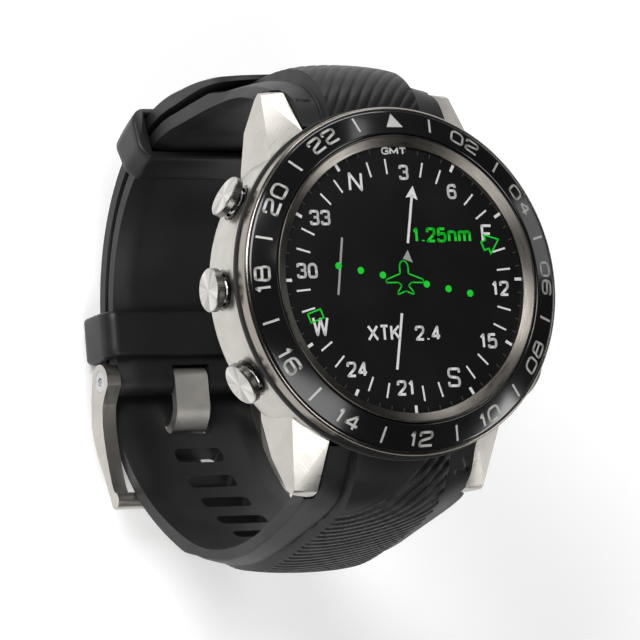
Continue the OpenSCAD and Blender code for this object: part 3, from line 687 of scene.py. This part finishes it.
def lower_strap():
    """The half at 6 o'clock, with slots and the free tail."""
    outer = np.concatenate([spline(LOWER_OUTER)[:-1], arc(ARC_C, TAIL_OUT_R, -90, 0)[:-1],
                            spline(TAIL_OUTER)])
    inner = np.concatenate([spline(LOWER_INNER)[:-1], arc(ARC_C, TAIL_IN_R, -90, 0)[:-1],
                            spline(TAIL_INNER)])
    total = lengths(outer)[-1]

    def half(share, point):
        wide = strap_half_width(point[1]) if share < 0.5 else STRAP_HALF
        left = (1 - share) * total
        return wide * math.sqrt(max(0.02, 1 - max(0, 1 - left / TAIL_TIP_ROUND) ** 2))

    def relief(x, s):
        crown = crown_height(s, LOWER_CROWN)
        height, field = strap_relief(x, s, crown, 0.3, LOWER_FIELD_L)
        # the corner by the left lug has no ribs
        ribbed = smooth_step(s + 0.8 * x, 3.2, 5.5)
        mark = stroke_groove(x, s, (8.7, 4.0), (10.3, 3.7)) + stroke_groove(x, s, (10.3, 3.7), (9.7, 2.3))
        return height + field * ribbed * ribs(x, s, **LOWER_RIBS) + mark

    strap = strap_surface("strap_hole_side", outer, inner, half, relief,
                          LOWER_FIELD_L + FIELD_MARGIN)
    cut(strap, strap_end_cutters(-1) + slot_cutters())
    place(strap, "case", ("strap_lower",))


upper_strap()
lower_strap()


# ---------------------------------------------------------------- keepers

KEEPER_HALF = 13.3
KEEPER_WALL = 1.15
KEEPER_CHAMFER = 1.6
KEEPER_SHOULDER = 1.3
KEEPER_OPEN_HALF = STRAP_HALF + SOFT_GAP + 0.1
KEEPER_L = 6.5


def keeper_section(low, high, inset):
    """Outer and inner loop of a keeper's section, as (across, through) points, shrunk by inset."""
    bottom = low - KEEPER_WALL + inset
    top = high + KEEPER_WALL - inset
    flat = KEEPER_HALF - KEEPER_SHOULDER
    side = KEEPER_HALF - inset
    outer = [(-flat, bottom), (flat, bottom), (side, bottom + KEEPER_CHAMFER), (side, top - KEEPER_CHAMFER),
             (flat, top), (-flat, top), (-side, top - KEEPER_CHAMFER), (-side, bottom + KEEPER_CHAMFER)]
    opening = KEEPER_OPEN_HALF + 0.6 * inset
    inner = rectangle(-opening, opening, low - 0.6 * inset, high + 0.6 * inset)
    return rounded(outer, 0.9, 5), rounded(inner, 0.25, 5)


def keeper(name, low, high, lay, body, node):
    """A band swept along the strap; lay(distance, across, through) gives the point."""
    ends = [(0, 0.45), (0.1, 0.22), (0.28, 0.06), (0.5, 0)]
    stations = ends + [(KEEPER_L * t, 0) for t in (0.2, 0.35, 0.5, 0.65, 0.8)]
    stations += [(KEEPER_L - d, inset) for d, inset in reversed(ends)]
    outer, inner = [], []
    for distance, inset in stations:
        outer_loop, inner_loop = keeper_section(low, high, inset)
        outer.append([lay(distance, a, b) for a, b in outer_loop])
        inner.append([lay(distance, a, b) for a, b in inner_loop])
    points, faces = stitched(outer)
    band = new_piece(name, points, faces, keeper_rubber)
    inner = np.array(inner)
    before, beyond = inner[0] + 2 * (inner[0] - inner[1]), inner[-1] + 2 * (inner[-1] - inner[-2])
    points, faces = stitched([before, *inner, beyond])
    cut(band, [new_piece("cutter", points, faces, keeper_rubber)], 50)
    place(band, body, (node,))


FIXED_Y = corner("keeper_fixed")[0].y
FIXED_Z = (corner("keeper_fixed")[0].z + KEEPER_WALL, corner("keeper_fixed")[1].z - KEEPER_WALL)
LOOSE_ANGLE = -24.6


def lay_beside_buckle(distance, across, through):
    return (across, FIXED_Y + distance, through)


def lay_on_arc(distance, across, through):
    angle = math.radians(LOOSE_ANGLE) + (distance - KEEPER_L / 2) / UPPER_OUT_R
    return (across, ARC_C[0] + through * math.cos(angle), ARC_C[1] + through * math.sin(angle))


keeper("keeper_beside_buckle", FIXED_Z[0], FIXED_Z[1], lay_beside_buckle, "case", "keeper_fixed")
keeper("keeper_sliding", UPPER_IN_R - SOFT_GAP, TAIL_OUT_R + SOFT_GAP, lay_on_arc, "keeper_loose",
       "keeper_loose")


# ---------------------------------------------------------------- buckle and case

TONGUE_MID = [[-5, -51.9], [-7.5, -52], [-9.4, -53.4], [-10.4, -55.4], [-12.4, -56.8], [-16.6, -55.4],
              [-21.2, -53.2]]
TONGUE_T = 1.4
EYE_R = ROLL_R - 0.1


def buckle_tongue():
    """Flat bar from the pin's eye down through the strap to the crossbar."""
    line = spline(TONGUE_MID, 12)
    heading = np.gradient(line, axis=0)
    heading /= np.linalg.norm(heading, axis=1)[:, None]
    side = np.stack([-heading[:, 1], heading[:, 0]], axis=-1) * TONGUE_T / 2
    half = corner("buckle_tongue")[1].x
    eye_top = [ROLL_C + [0, EYE_R]]
    outline = np.concatenate([eye_top, line - side, (line + side)[::-1], [ROLL_C]])
    tongue = prism(outline, -half, half)
    tongue.name = "buckle_tongue_bar"
    tongue.data.materials.clear()
    tongue.data.materials.append(tongue_steel_painted_light)
    combine(tongue, prism(circle(ROLL_C, EYE_R, 64), -half, half), "UNION")
    cut(tongue, [prism(circle(ROLL_C, BUCKLE_PIN_R + BUCKLE_PIN_GAP), -20, 20)])
    round_edges(tongue, 0.16, 50)
    place(tongue, "buckle_tongue", ("buckle_tongue",))


buckle_tongue()
softened("buckle_arms", "buckle_frame", arm_steel, "buckle_frame", 0.22)


def coil_spring(name):
    """A pusher's return spring, held under the head; it rides with the pusher."""
    piece = copy_of(name + "_spring", name + "_coil", pin_steel)
    piece.data.shade_smooth()
    place(piece, name + "_pusher", (name + "_spring",))
    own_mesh(piece)


for pusher_name, pusher_angle in PUSHER_ANGLES.items():
    coil_spring(pusher_name)
softened("case_shell", "case_body", titanium, "case", 0.1)


# ---------------------------------------------------------------- bezel and lens ring

BEZEL_R = corner("bezel_ring")[1].x
SKIRT_Z = corner("bezel_ring")[0].z
INSERT_TOP = corner("bezel_insert")[1].z
SKIRT_TOP = 12.65
SEAL_R = BEZEL_R + 0.3
INSERT_OUT_R = BEZEL_R - 0.53
INSERT_IN_R = 19.1
RING_OUT_R = corner("lens_ring")[1].x
LENS_TOP = corner("lens")[1].z
LENS_OPEN_R = 17.55
PROFILE_STEPS = 4

bezel_profile = rounded([
    (19, SKIRT_Z), (BEZEL_R - 0.25, SKIRT_Z, 0.06), (BEZEL_R, SKIRT_Z + 0.25, 0.1),
    (BEZEL_R, SKIRT_TOP - 0.32, 0.1), (BEZEL_R - 0.3, SKIRT_TOP, 0.12), (BEZEL_R - 0.5, SKIRT_TOP, 0.06),
    (BEZEL_R - 0.5, SKIRT_TOP - 0.65), (19, INSERT_TOP - 1.05)], 0, PROFILE_STEPS)
lathe("bezel_shell", bezel_profile, bezel_steel, "bezel_ring")
# The seal's lip reaches past the skirt as a dark ring: it is the real gasket, and also painted shade for the
# gap between the case and the bezel.
seal_low, seal_high = corner("bezel_gasket")
seal_profile = rounded([(20, seal_low.z), (BEZEL_R - 0.7, seal_low.z), (BEZEL_R - 0.5, SKIRT_Z - 0.3),
                        (SEAL_R, SKIRT_Z - 0.3, 0.1), (SEAL_R, SKIRT_Z + 0.08, 0.12),
                        (BEZEL_R - 0.7, SKIRT_Z + 0.08), (BEZEL_R - 0.7, seal_high.z),
                        (20, seal_high.z)], 0, PROFILE_STEPS)
lathe("bezel_seal_and_gap_shade", seal_profile, seal, "bezel_gasket")

insert_profile = rounded([
    (INSERT_OUT_R, SKIRT_TOP - 0.6), (INSERT_OUT_R, SKIRT_TOP, 0.08),
    (INSERT_OUT_R - 0.2, SKIRT_TOP + 0.16, 0.1),
    (INSERT_IN_R + 0.2, INSERT_TOP, 0.1), (INSERT_IN_R, INSERT_TOP - 0.12, 0.08),
    (INSERT_IN_R, INSERT_TOP - 1.02)], 0, PROFILE_STEPS)
lathe("bezel_scale_ring", insert_profile, ceramic, "bezel_insert")

ring_profile = rounded([
    (18.25, SKIRT_Z), (RING_OUT_R, SKIRT_Z), (RING_OUT_R, INSERT_TOP - 0.12, 0.05),
    (RING_OUT_R - 0.2, INSERT_TOP - 0.05, 0.08), (LENS_OPEN_R + 0.12, LENS_TOP + 0.52, 0.05),
    (LENS_OPEN_R, LENS_TOP + 0.44, 0.05), (LENS_OPEN_R, LENS_TOP + 0.02),
    (18.25, LENS_TOP + 0.02)], 0, PROFILE_STEPS)
lathe("lens_bezel_ring", ring_profile, ring_steel, "lens_ring")


def insert_height(radius):
    """Height of the ceramic ring's sloping face."""
    return np.interp(radius, [INSERT_IN_R + 0.2, INSERT_OUT_R - 0.2], [INSERT_TOP, SKIRT_TOP + 0.16])


# ---------------------------------------------------------------- lettering
# Every glyph is a few strokes in a box one unit wide and high. A third number rounds that corner.

R = 0.42
GLYPHS = {
    "0": [[(0.5, 0), (0, 0, R), (0, 1, R), (1, 1, R), (1, 0, R), (0.5, 0)]],
    "1": [[(0.12, 0.76), (0.62, 1, 0.02), (0.62, 0)]],
    "2": [[(0, 0.72), (0, 1, R), (1, 1, R), (1, 0.6, 0.2), (0, 0.0, 0.02), (1, 0)]],
    "3": [[(0, 0.78), (0, 1, R), (1, 1, R), (1, 0.53, 0.25), (0.4, 0.53)],
          [(0.4, 0.53), (1, 0.53, 0.3), (1, 0, R), (0, 0, R), (0, 0.22)]],
    "4": [[(0.74, 0), (0.74, 1, 0.02), (0, 0.26, 0.02), (1.05, 0.26)]],
    "5": [[(0.95, 1), (0.08, 1, 0.02), (0.04, 0.5, 0.02), (0.2, 0.6, 0.1), (1, 0.64, R), (1, 0, R), (0, 0, R),
           (0, 0.2)]],
    "6": [[(0.97, 0.8), (0.97, 1, R), (0, 1, R), (0, 0, R), (1, 0, R), (1, 0.57, R), (0.04, 0.57)]],
    "8": [[(0.06, 0.53), (0.06, 1, R), (0.94, 1, R), (0.94, 0.53)], [(0.06, 0.53), (0.94, 0.53)],
          [(0, 0.45), (0, 0, R), (1, 0, R), (1, 0.45)], [(0.06, 0.53), (0, 0.45)], [(0.94, 0.53), (1, 0.45)]],
    ".": [[(0.5, -0.02), (0.5, 0.08)]],
    "N": [[(0, 0), (0, 1, 0.02), (1, 0, 0.02), (1, 1)]],
    "E": [[(1, 1), (0, 1, 0.02), (0, 0, 0.02), (1, 0)], [(0, 0.52), (0.85, 0.52)]],
    "S": [[(1, 0.78), (1, 1, R), (0, 1, R), (0, 0.54, R), (1, 0.46, R), (1, 0, R), (0, 0, R), (0, 0.22)]],
    "W": [[(0, 1), (0.24, 0, 0.02), (0.5, 0.95, 0.02), (0.76, 0, 0.02), (1, 1)]],
    "X": [[(0, 0), (1, 1)], [(0, 1), (1, 0)]],
    "T": [[(0, 1), (1, 1)], [(0.5, 1), (0.5, 0)]],
    "K": [[(0, 0), (0, 1)], [(0.95, 1), (0.02, 0.4)], [(0.35, 0.6), (1, 0)]],
    "G": [[(1, 0.76), (1, 1, R), (0, 1, R), (0, 0, R), (1, 0, R), (1, 0.48, 0.02), (0.55, 0.48)]],
    "M": [[(0, 0), (0, 1, 0.02), (0.5, 0.2, 0.02), (1, 1, 0.02), (1, 0)]],
    "n": [[(0, 0), (0, 0.76)], [(0, 0.5), (0, 0.76, 0.3), (1, 0.76, 0.35), (1, 0)]],
    "m": [[(0, 0), (0, 0.76)], [(0, 0.5), (0, 0.76, 0.2), (0.5, 0.76, 0.2), (0.5, 0)],
          [(0.5, 0.5), (0.5, 0.76, 0.2), (1, 0.76, 0.2), (1, 0)]],
}
SQUARE_GLYPHS = dict(GLYPHS)
SQUARE_GLYPHS["2"] = [[(0, 0.72), (0, 1, 0.3), (1, 1, 0.3), (1, 0.6, 0.2), (0, 0.36, 0.2), (0, 0, 0.02),
                       (1, 0)]]
SQUARE_GLYPHS["1"] = [[(0.25, 0.74), (0.7, 1, 0.02), (0.7, 0)]]
SQUARE_GLYPHS["4"] = [[(0.72, 0), (0.72, 1, 0.02), (0, 0.3, 0.02), (1, 0.3)]]


class Inlay:
    """Collects flat strokes and fills into one thin closed mesh laid on a surface."""

    def __init__(self, surface, thickness=0.03):
        self.surface = surface
        self.thickness = thickness
        self.points = []
        self.faces = []

    def slab(self, flat, top_faces, rim):
        """A thin solid over flat points: its top, its underside and its rim."""
        start, count = len(self.points), len(flat)
        for sink in (0, self.thickness):
            for u, v in flat:
                x, y, z = self.surface(u, v)
                self.points.append((x, y, z - sink))
        for face in top_faces:
            self.faces.append([start + i for i in face])
            self.faces.append([start + count + i for i in reversed(face)])
        for i, j in zip(rim, rim[1:] + rim[:1]):
            self.faces.append([start + j, start + i, start + count + i, start + count + j])

    def bar(self, a, b, width):
        """A straight bar from a to b."""
        along = (b - a) / max(np.linalg.norm(b - a), 1e-6)
        side = np.array([-along[1], along[0]]) * width / 2
        self.slab([a + side, a - side, b - side, b + side], [[0, 1, 2, 3]], [3, 2, 1, 0])

    def stroke(self, path, width, closed=False):
        """A line of even width along a path: bars with round joints."""
        path = [np.array(p, float) for p in path]
        ends = path[1:] + path[:1] if closed else path[1:]
        for a, b in zip(path, ends):
            self.bar(a, b, width)
        for joint in path if closed else path[1:-1]:
            self.fill(circle(joint, width / 2, 12))

    def fill(self, outline):
        """A filled convex outline."""
        flat = [tuple(p) for p in outline]
        centre = tuple(np.mean(np.array(flat), axis=0))
        count = len(flat)
        self.slab(flat + [centre], [[i, (i + 1) % count, count] for i in range(count)],
                  list(range(count))[::-1])

    def text(self, letters, x, y, height, widths, gap, line, glyphs=GLYPHS, frame_at=None):
        """Letters centred on (x, y). widths gives each letter's width by its height."""
        sizes = [widths.get(letter, widths[""]) * height for letter in letters]
        cursor = x - (sum(sizes) + gap * (len(letters) - 1)) / 2
        for letter, wide in zip(letters, sizes):
            for stroke in glyphs[letter]:
                path = rounded(stroke, 0, 6, closed=False)
                closed = bool(np.allclose(path[0], path[-1]))
                path = path[:-1] if closed else path
                u = cursor + line / 2 + path[:, 0] * (wide - line)
                v = y - height / 2 + line / 2 + path[:, 1] * (height - line)
                flat = np.stack([u, v], axis=-1)
                self.stroke(frame_at(flat) if frame_at else flat, line, closed)
            cursor += wide + gap

    def build(self, name, material, slot):
        return new_piece(name, self.points, self.faces, material, "case", 40)


class BezelInlay(Inlay):
    """Inlay on the sloping ceramic ring, whose text can be bent round the ring."""

    mid_radius = 21.0

    def bend(self, angle, readable_from):
        """Places text across the ring at an angle; readable from the centre or from outside."""
        sign = -1 if readable_from == "centre" else 1

        def frame_at(flat):
            radius = self.mid_radius - sign * flat[:, 1]
            turn = np.radians(angle) + sign * flat[:, 0] / self.mid_radius
            return np.stack([radius * np.cos(turn), radius * np.sin(turn)], axis=-1)
        return frame_at


def insert_point(x, y):
    """The point just over the ceramic ring at a place in plan."""
    return (x, y, float(insert_height(math.hypot(x, y))) + 0.02)


numerals = BezelInlay(insert_point, 0.06)
for hour in range(2, 24, 2):
    angle = 90 - 15 * hour
    reading = "outside" if 6 < hour < 18 else "centre"
    numerals.text(f"{hour:02d}", 0, 0, height=1.95, widths={"": 1.06, "1": 0.62}, gap=0.36, line=0.31,
                  glyphs=SQUARE_GLYPHS, frame_at=numerals.bend(angle, reading))
numerals.build("bezel_numerals", numeral_paint, "bezel_metal")

bezel_ticks = BezelInlay(insert_point, 0.06)
for step in range(12):
    turn = math.radians(75 - 30 * step)
    direction = np.array([math.cos(turn), math.sin(turn)])
    bezel_ticks.stroke([direction * r for r in (20.0, 20.7, 21.4, 22.0)], 0.3)
bezel_ticks.fill([(-1.2, 20.0), (0, 20.0), (1.2, 20.0), (0.6, 20.98), (0, 21.96), (-0.6, 20.98)])
bezel_ticks.build("bezel_ticks", numeral_paint, "bezel_metal")


# ---------------------------------------------------------------- display
# The picture is drawn at the lens's front face, where the bonded glass makes it appear.

NORTH_ANGLE = 115           # where the compass rose's north lies, counted from 3 o'clock
COURSE_ANGLE = 79


def on_glass(lift):
    """Maps a place in plan to a point over the lens's front face."""
    return lambda x, y: (x, y, LENS_TOP + lift)


def polar(angle, radius, aside=0.0):
    """A point at a radius and angle, moved aside across the radius."""
    turn = math.radians(angle)
    return np.array([radius * math.cos(turn) - aside * math.sin(turn),
                     radius * math.sin(turn) + aside * math.cos(turn)])


CONDENSED = {"": 0.70, "1": 0.50, ".": 0.3, "m": 0.98, "n": 0.66, "W": 0.94, "N": 0.80, "M": 0.95,
             "E": 0.66, "S": 0.74, "X": 0.78, "T": 0.64, "K": 0.72}

white = Inlay(on_glass(0.02))
for step in range(36):
    if step % 3:
        heading = NORTH_ANGLE - 10 * step
        white.stroke([polar(heading, 14.0), polar(heading, 16.0)], 0.24)
for step, label in enumerate(["N", "3", "6", "E", "12", "15", "S", "21", "24", "W", "30", "33"]):
    x, y = polar(NORTH_ANGLE - 30 * step, 14.25)
    tall = 2.55 if label.isalpha() else 2.0
    white.text(label, x, y, tall, CONDENSED, 0.2, 0.34)
for hour in range(1, 12):
    white.stroke([polar(90 - 30 * hour, 16.5), polar(90 - 30 * hour, 17.5)], 0.4)
white.text("GMT", 0.05, 17.02, 0.95, {"": 1.15, "M": 1.35}, 0.12, 0.2)
white.stroke([polar(COURSE_ANGLE, 4.9), polar(COURSE_ANGLE, 11.4)], 0.34)
white.fill([polar(COURSE_ANGLE, 10.9, 0.9), polar(COURSE_ANGLE, 11.15), polar(COURSE_ANGLE, 10.9, -0.9),
            polar(COURSE_ANGLE, 12.65)])
white.stroke([polar(COURSE_ANGLE + 180, 4.5), polar(COURSE_ANGLE + 180, 12.0)], 0.34)
white.text("XTK", -3.75, -6.95, 2.1, CONDENSED, 0.2, 0.32)
white.text("2.4", 2.72, -7.05, 1.95, CONDENSED, 0.22, 0.32)
white.build("display_white_marks", white_ink, "screen")

grey = Inlay(on_glass(0.02))
bar_middle = polar(COURSE_ANGLE + 90, 9.5)
bar_reach = polar(COURSE_ANGLE + 1.5, 3.8)
grey.stroke([bar_middle - bar_reach, bar_middle + bar_reach], 0.3)
grey.fill([(0.0, 2.8), (1.4, 2.25), (0.82, 3.9)])
grey.build("display_grey_marks", grey_ink, "screen")

faint = Inlay(on_glass(0.015))
for minute in range(60):
    if minute % 5:
        faint.stroke([polar(6 * minute, 16.9), polar(6 * minute, 17.45)], 0.11)
faint.build("display_minute_marks", faint_ink, "screen")

BUG_ANGLE = 20.0
bug_outline = [polar(BUG_ANGLE, 15.5), polar(BUG_ANGLE, 13.6, 1.35), polar(BUG_ANGLE, 13.65, 0.6),
               polar(BUG_ANGLE, 12.9, 0.6), polar(BUG_ANGLE, 12.9, -0.6), polar(BUG_ANGLE, 13.65, -0.6),
               polar(BUG_ANGLE, 13.6, -1.35)]
mask = Inlay(on_glass(0.035))
mask.fill([bug_outline[i] for i in (0, 1, 6)])
mask.fill([bug_outline[i] for i in (2, 3, 4, 5)])
mask.build("display_bug_ground", black_ink, "screen")

green = Inlay(on_glass(0.05), 0.05)
green.stroke(bug_outline, 0.2, closed=True)
green.stroke([polar(199, 13.3, 0.6), polar(199, 15.3, 0.6), polar(199, 15.3, -0.6), polar(199, 13.3, -0.6)],
             0.2, closed=True)
for step in (-3, -2, -1, 1, 2, 3):
    centre = polar(COURSE_ANGLE - 90, 3.25 * step)
    green.fill(circle(centre, 0.46, 20))
wing = [(0.62, 0.78), (2.75, 0.02, 0.15), (2.75, -0.4, 0.15), (0.95, -0.36, 0.2), (0.5, -0.8, 0.2),
        (1.15, -1.62, 0.1), (1.15, -1.95, 0.1), (0, -1.5, 0.2)]
half_outline = [(0, 2.65, 0.4), (0.62, 2.1, 0.5)] + wing
aircraft = half_outline + [(-p[0], *p[1:]) for p in reversed(half_outline[1:-1])]
green.stroke(rounded(aircraft, 0.05, 4), 0.17, closed=True)
green.text("1.25nm", 6.1, 5.9, 1.95, CONDENSED, 0.24, 0.34)
green.build("display_green_marks", green_ink, "screen")


# ---------------------------------------------------------------- stage, light and camera

def stage_floor():
    """A pale matt floor under the lowest point of the strap."""
    corners = rectangle(-FLOOR_HALF, FLOOR_HALF, -FLOOR_HALF, FLOOR_HALF)
    points = [(x, y, 0) for x, y in corners]
    material, nodes, links, shader = new_material("floor_white", (0.93, 0.93, 0.93), 0.0, 0.8)
    clouds = noise(nodes, links, texture_space(nodes, links), 0.01, 2.0)
    tint(nodes, links, clouds, (0.925, 0.925, 0.925), (0.935, 0.935, 0.935), shader.inputs["Base Color"])
    shader.inputs["Emission Color"].default_value = (1, 1, 1, 1)
    shader.inputs["Emission Strength"].default_value = FLOOR_GLOW
    floor = new_piece("floor", points, [[0, 1, 2, 3]], material)
    floor.location.z = cad_box[0][2] - FLOOR_GAP * MM


FLOOR_HALF = 3000
FLOOR_GLOW = 0.22
FLOOR_GAP = 0.2         # under the strap's lowest point
HORIZON_STRENGTH = 0.38
ZENITH_STRENGTH = 0.1

# name: position, the height on the dial axis that it points at, width, height, power in watts
LIGHTS = {
    "key_left": ((-420, 300, 420), 0, 360, 360, 4.0),
    "fill_front": ((-200, -420, 560), 0, 420, 420, 2.5),
    "bezel_right": ((480, 140, 160), 10, 140, 220, 0.13),
    "lug_right": ((415, -235, 150), 0, 160, 140, 0.6),
    "bezel_top": ((150, 390, 360), 10, 40, 220, 0.08),
    "bezel_left": ((-110, 137, 470), 10, 70, 60, 0.03),
    "back_strip": ((60, 560, 160), -10, 420, 140, 1.2),
    "sheen_card": ((165, 185, 480), 10, 200, 200, 0.07),
}


def area_light(name, position, aim_height, width, height, power):
    """A softbox; lengths in millimetres."""
    data = bpy.data.lights.new(name, "AREA")
    data.shape = "RECTANGLE"
    data.size, data.size_y = width * MM, height * MM
    data.energy = power
    light = bpy.data.objects.new(name, data)
    light.location = Vector(position) * MM
    toward = Vector((0, 0, aim_height)) - Vector(position)
    light.rotation_euler = toward.to_track_quat("-Z", "Y").to_euler()
    bpy.context.scene.collection.objects.link(light)


def studio():
    """Soft lights and a sky that is brighter near the horizon."""
    world = bpy.data.worlds.new("studio")
    bpy.context.scene.world = world
    world.use_nodes = True
    nodes, links = world.node_tree.nodes, world.node_tree.links
    direction = nodes.new("ShaderNodeTexCoord")
    split = nodes.new("ShaderNodeSeparateXYZ")
    links.new(direction.outputs["Generated"], split.inputs["Vector"])
    sky = spread(nodes, links, split.outputs["Z"], HORIZON_STRENGTH, ZENITH_STRENGTH, 0.1, 0.85)
    links.new(sky, nodes["Background"].inputs["Strength"])
    for name, light in LIGHTS.items():
        area_light(name, *light)


VIEW_FROM = Vector((-282.85, -86.85, 515.7))
VIEW_AIM = Vector((-3.34, -2.28, -5.0))
VIEW_UP = Vector((0.0049, 0.9849, 0.1731))
LENS_MM = 252.84


def camera():
    """The camera, from its place, its aim and its upward direction."""
    data = bpy.data.cameras.new("camera")
    data.sensor_width = 36
    data.lens = LENS_MM
    data.clip_start = 0.01
    view = bpy.data.objects.new("camera", data)
    back = (VIEW_FROM - VIEW_AIM).normalized()
    right = VIEW_UP.cross(back).normalized()
    up = back.cross(right)
    turn = Matrix((right, up, back)).transposed()
    view.matrix_world = Matrix.Translation(VIEW_FROM * MM) @ turn.to_4x4()
    bpy.context.scene.collection.objects.link(view)
    bpy.context.scene.camera = view


stage_floor()
studio()
camera()
bpy.context.scene.view_settings.view_transform = "Standard"
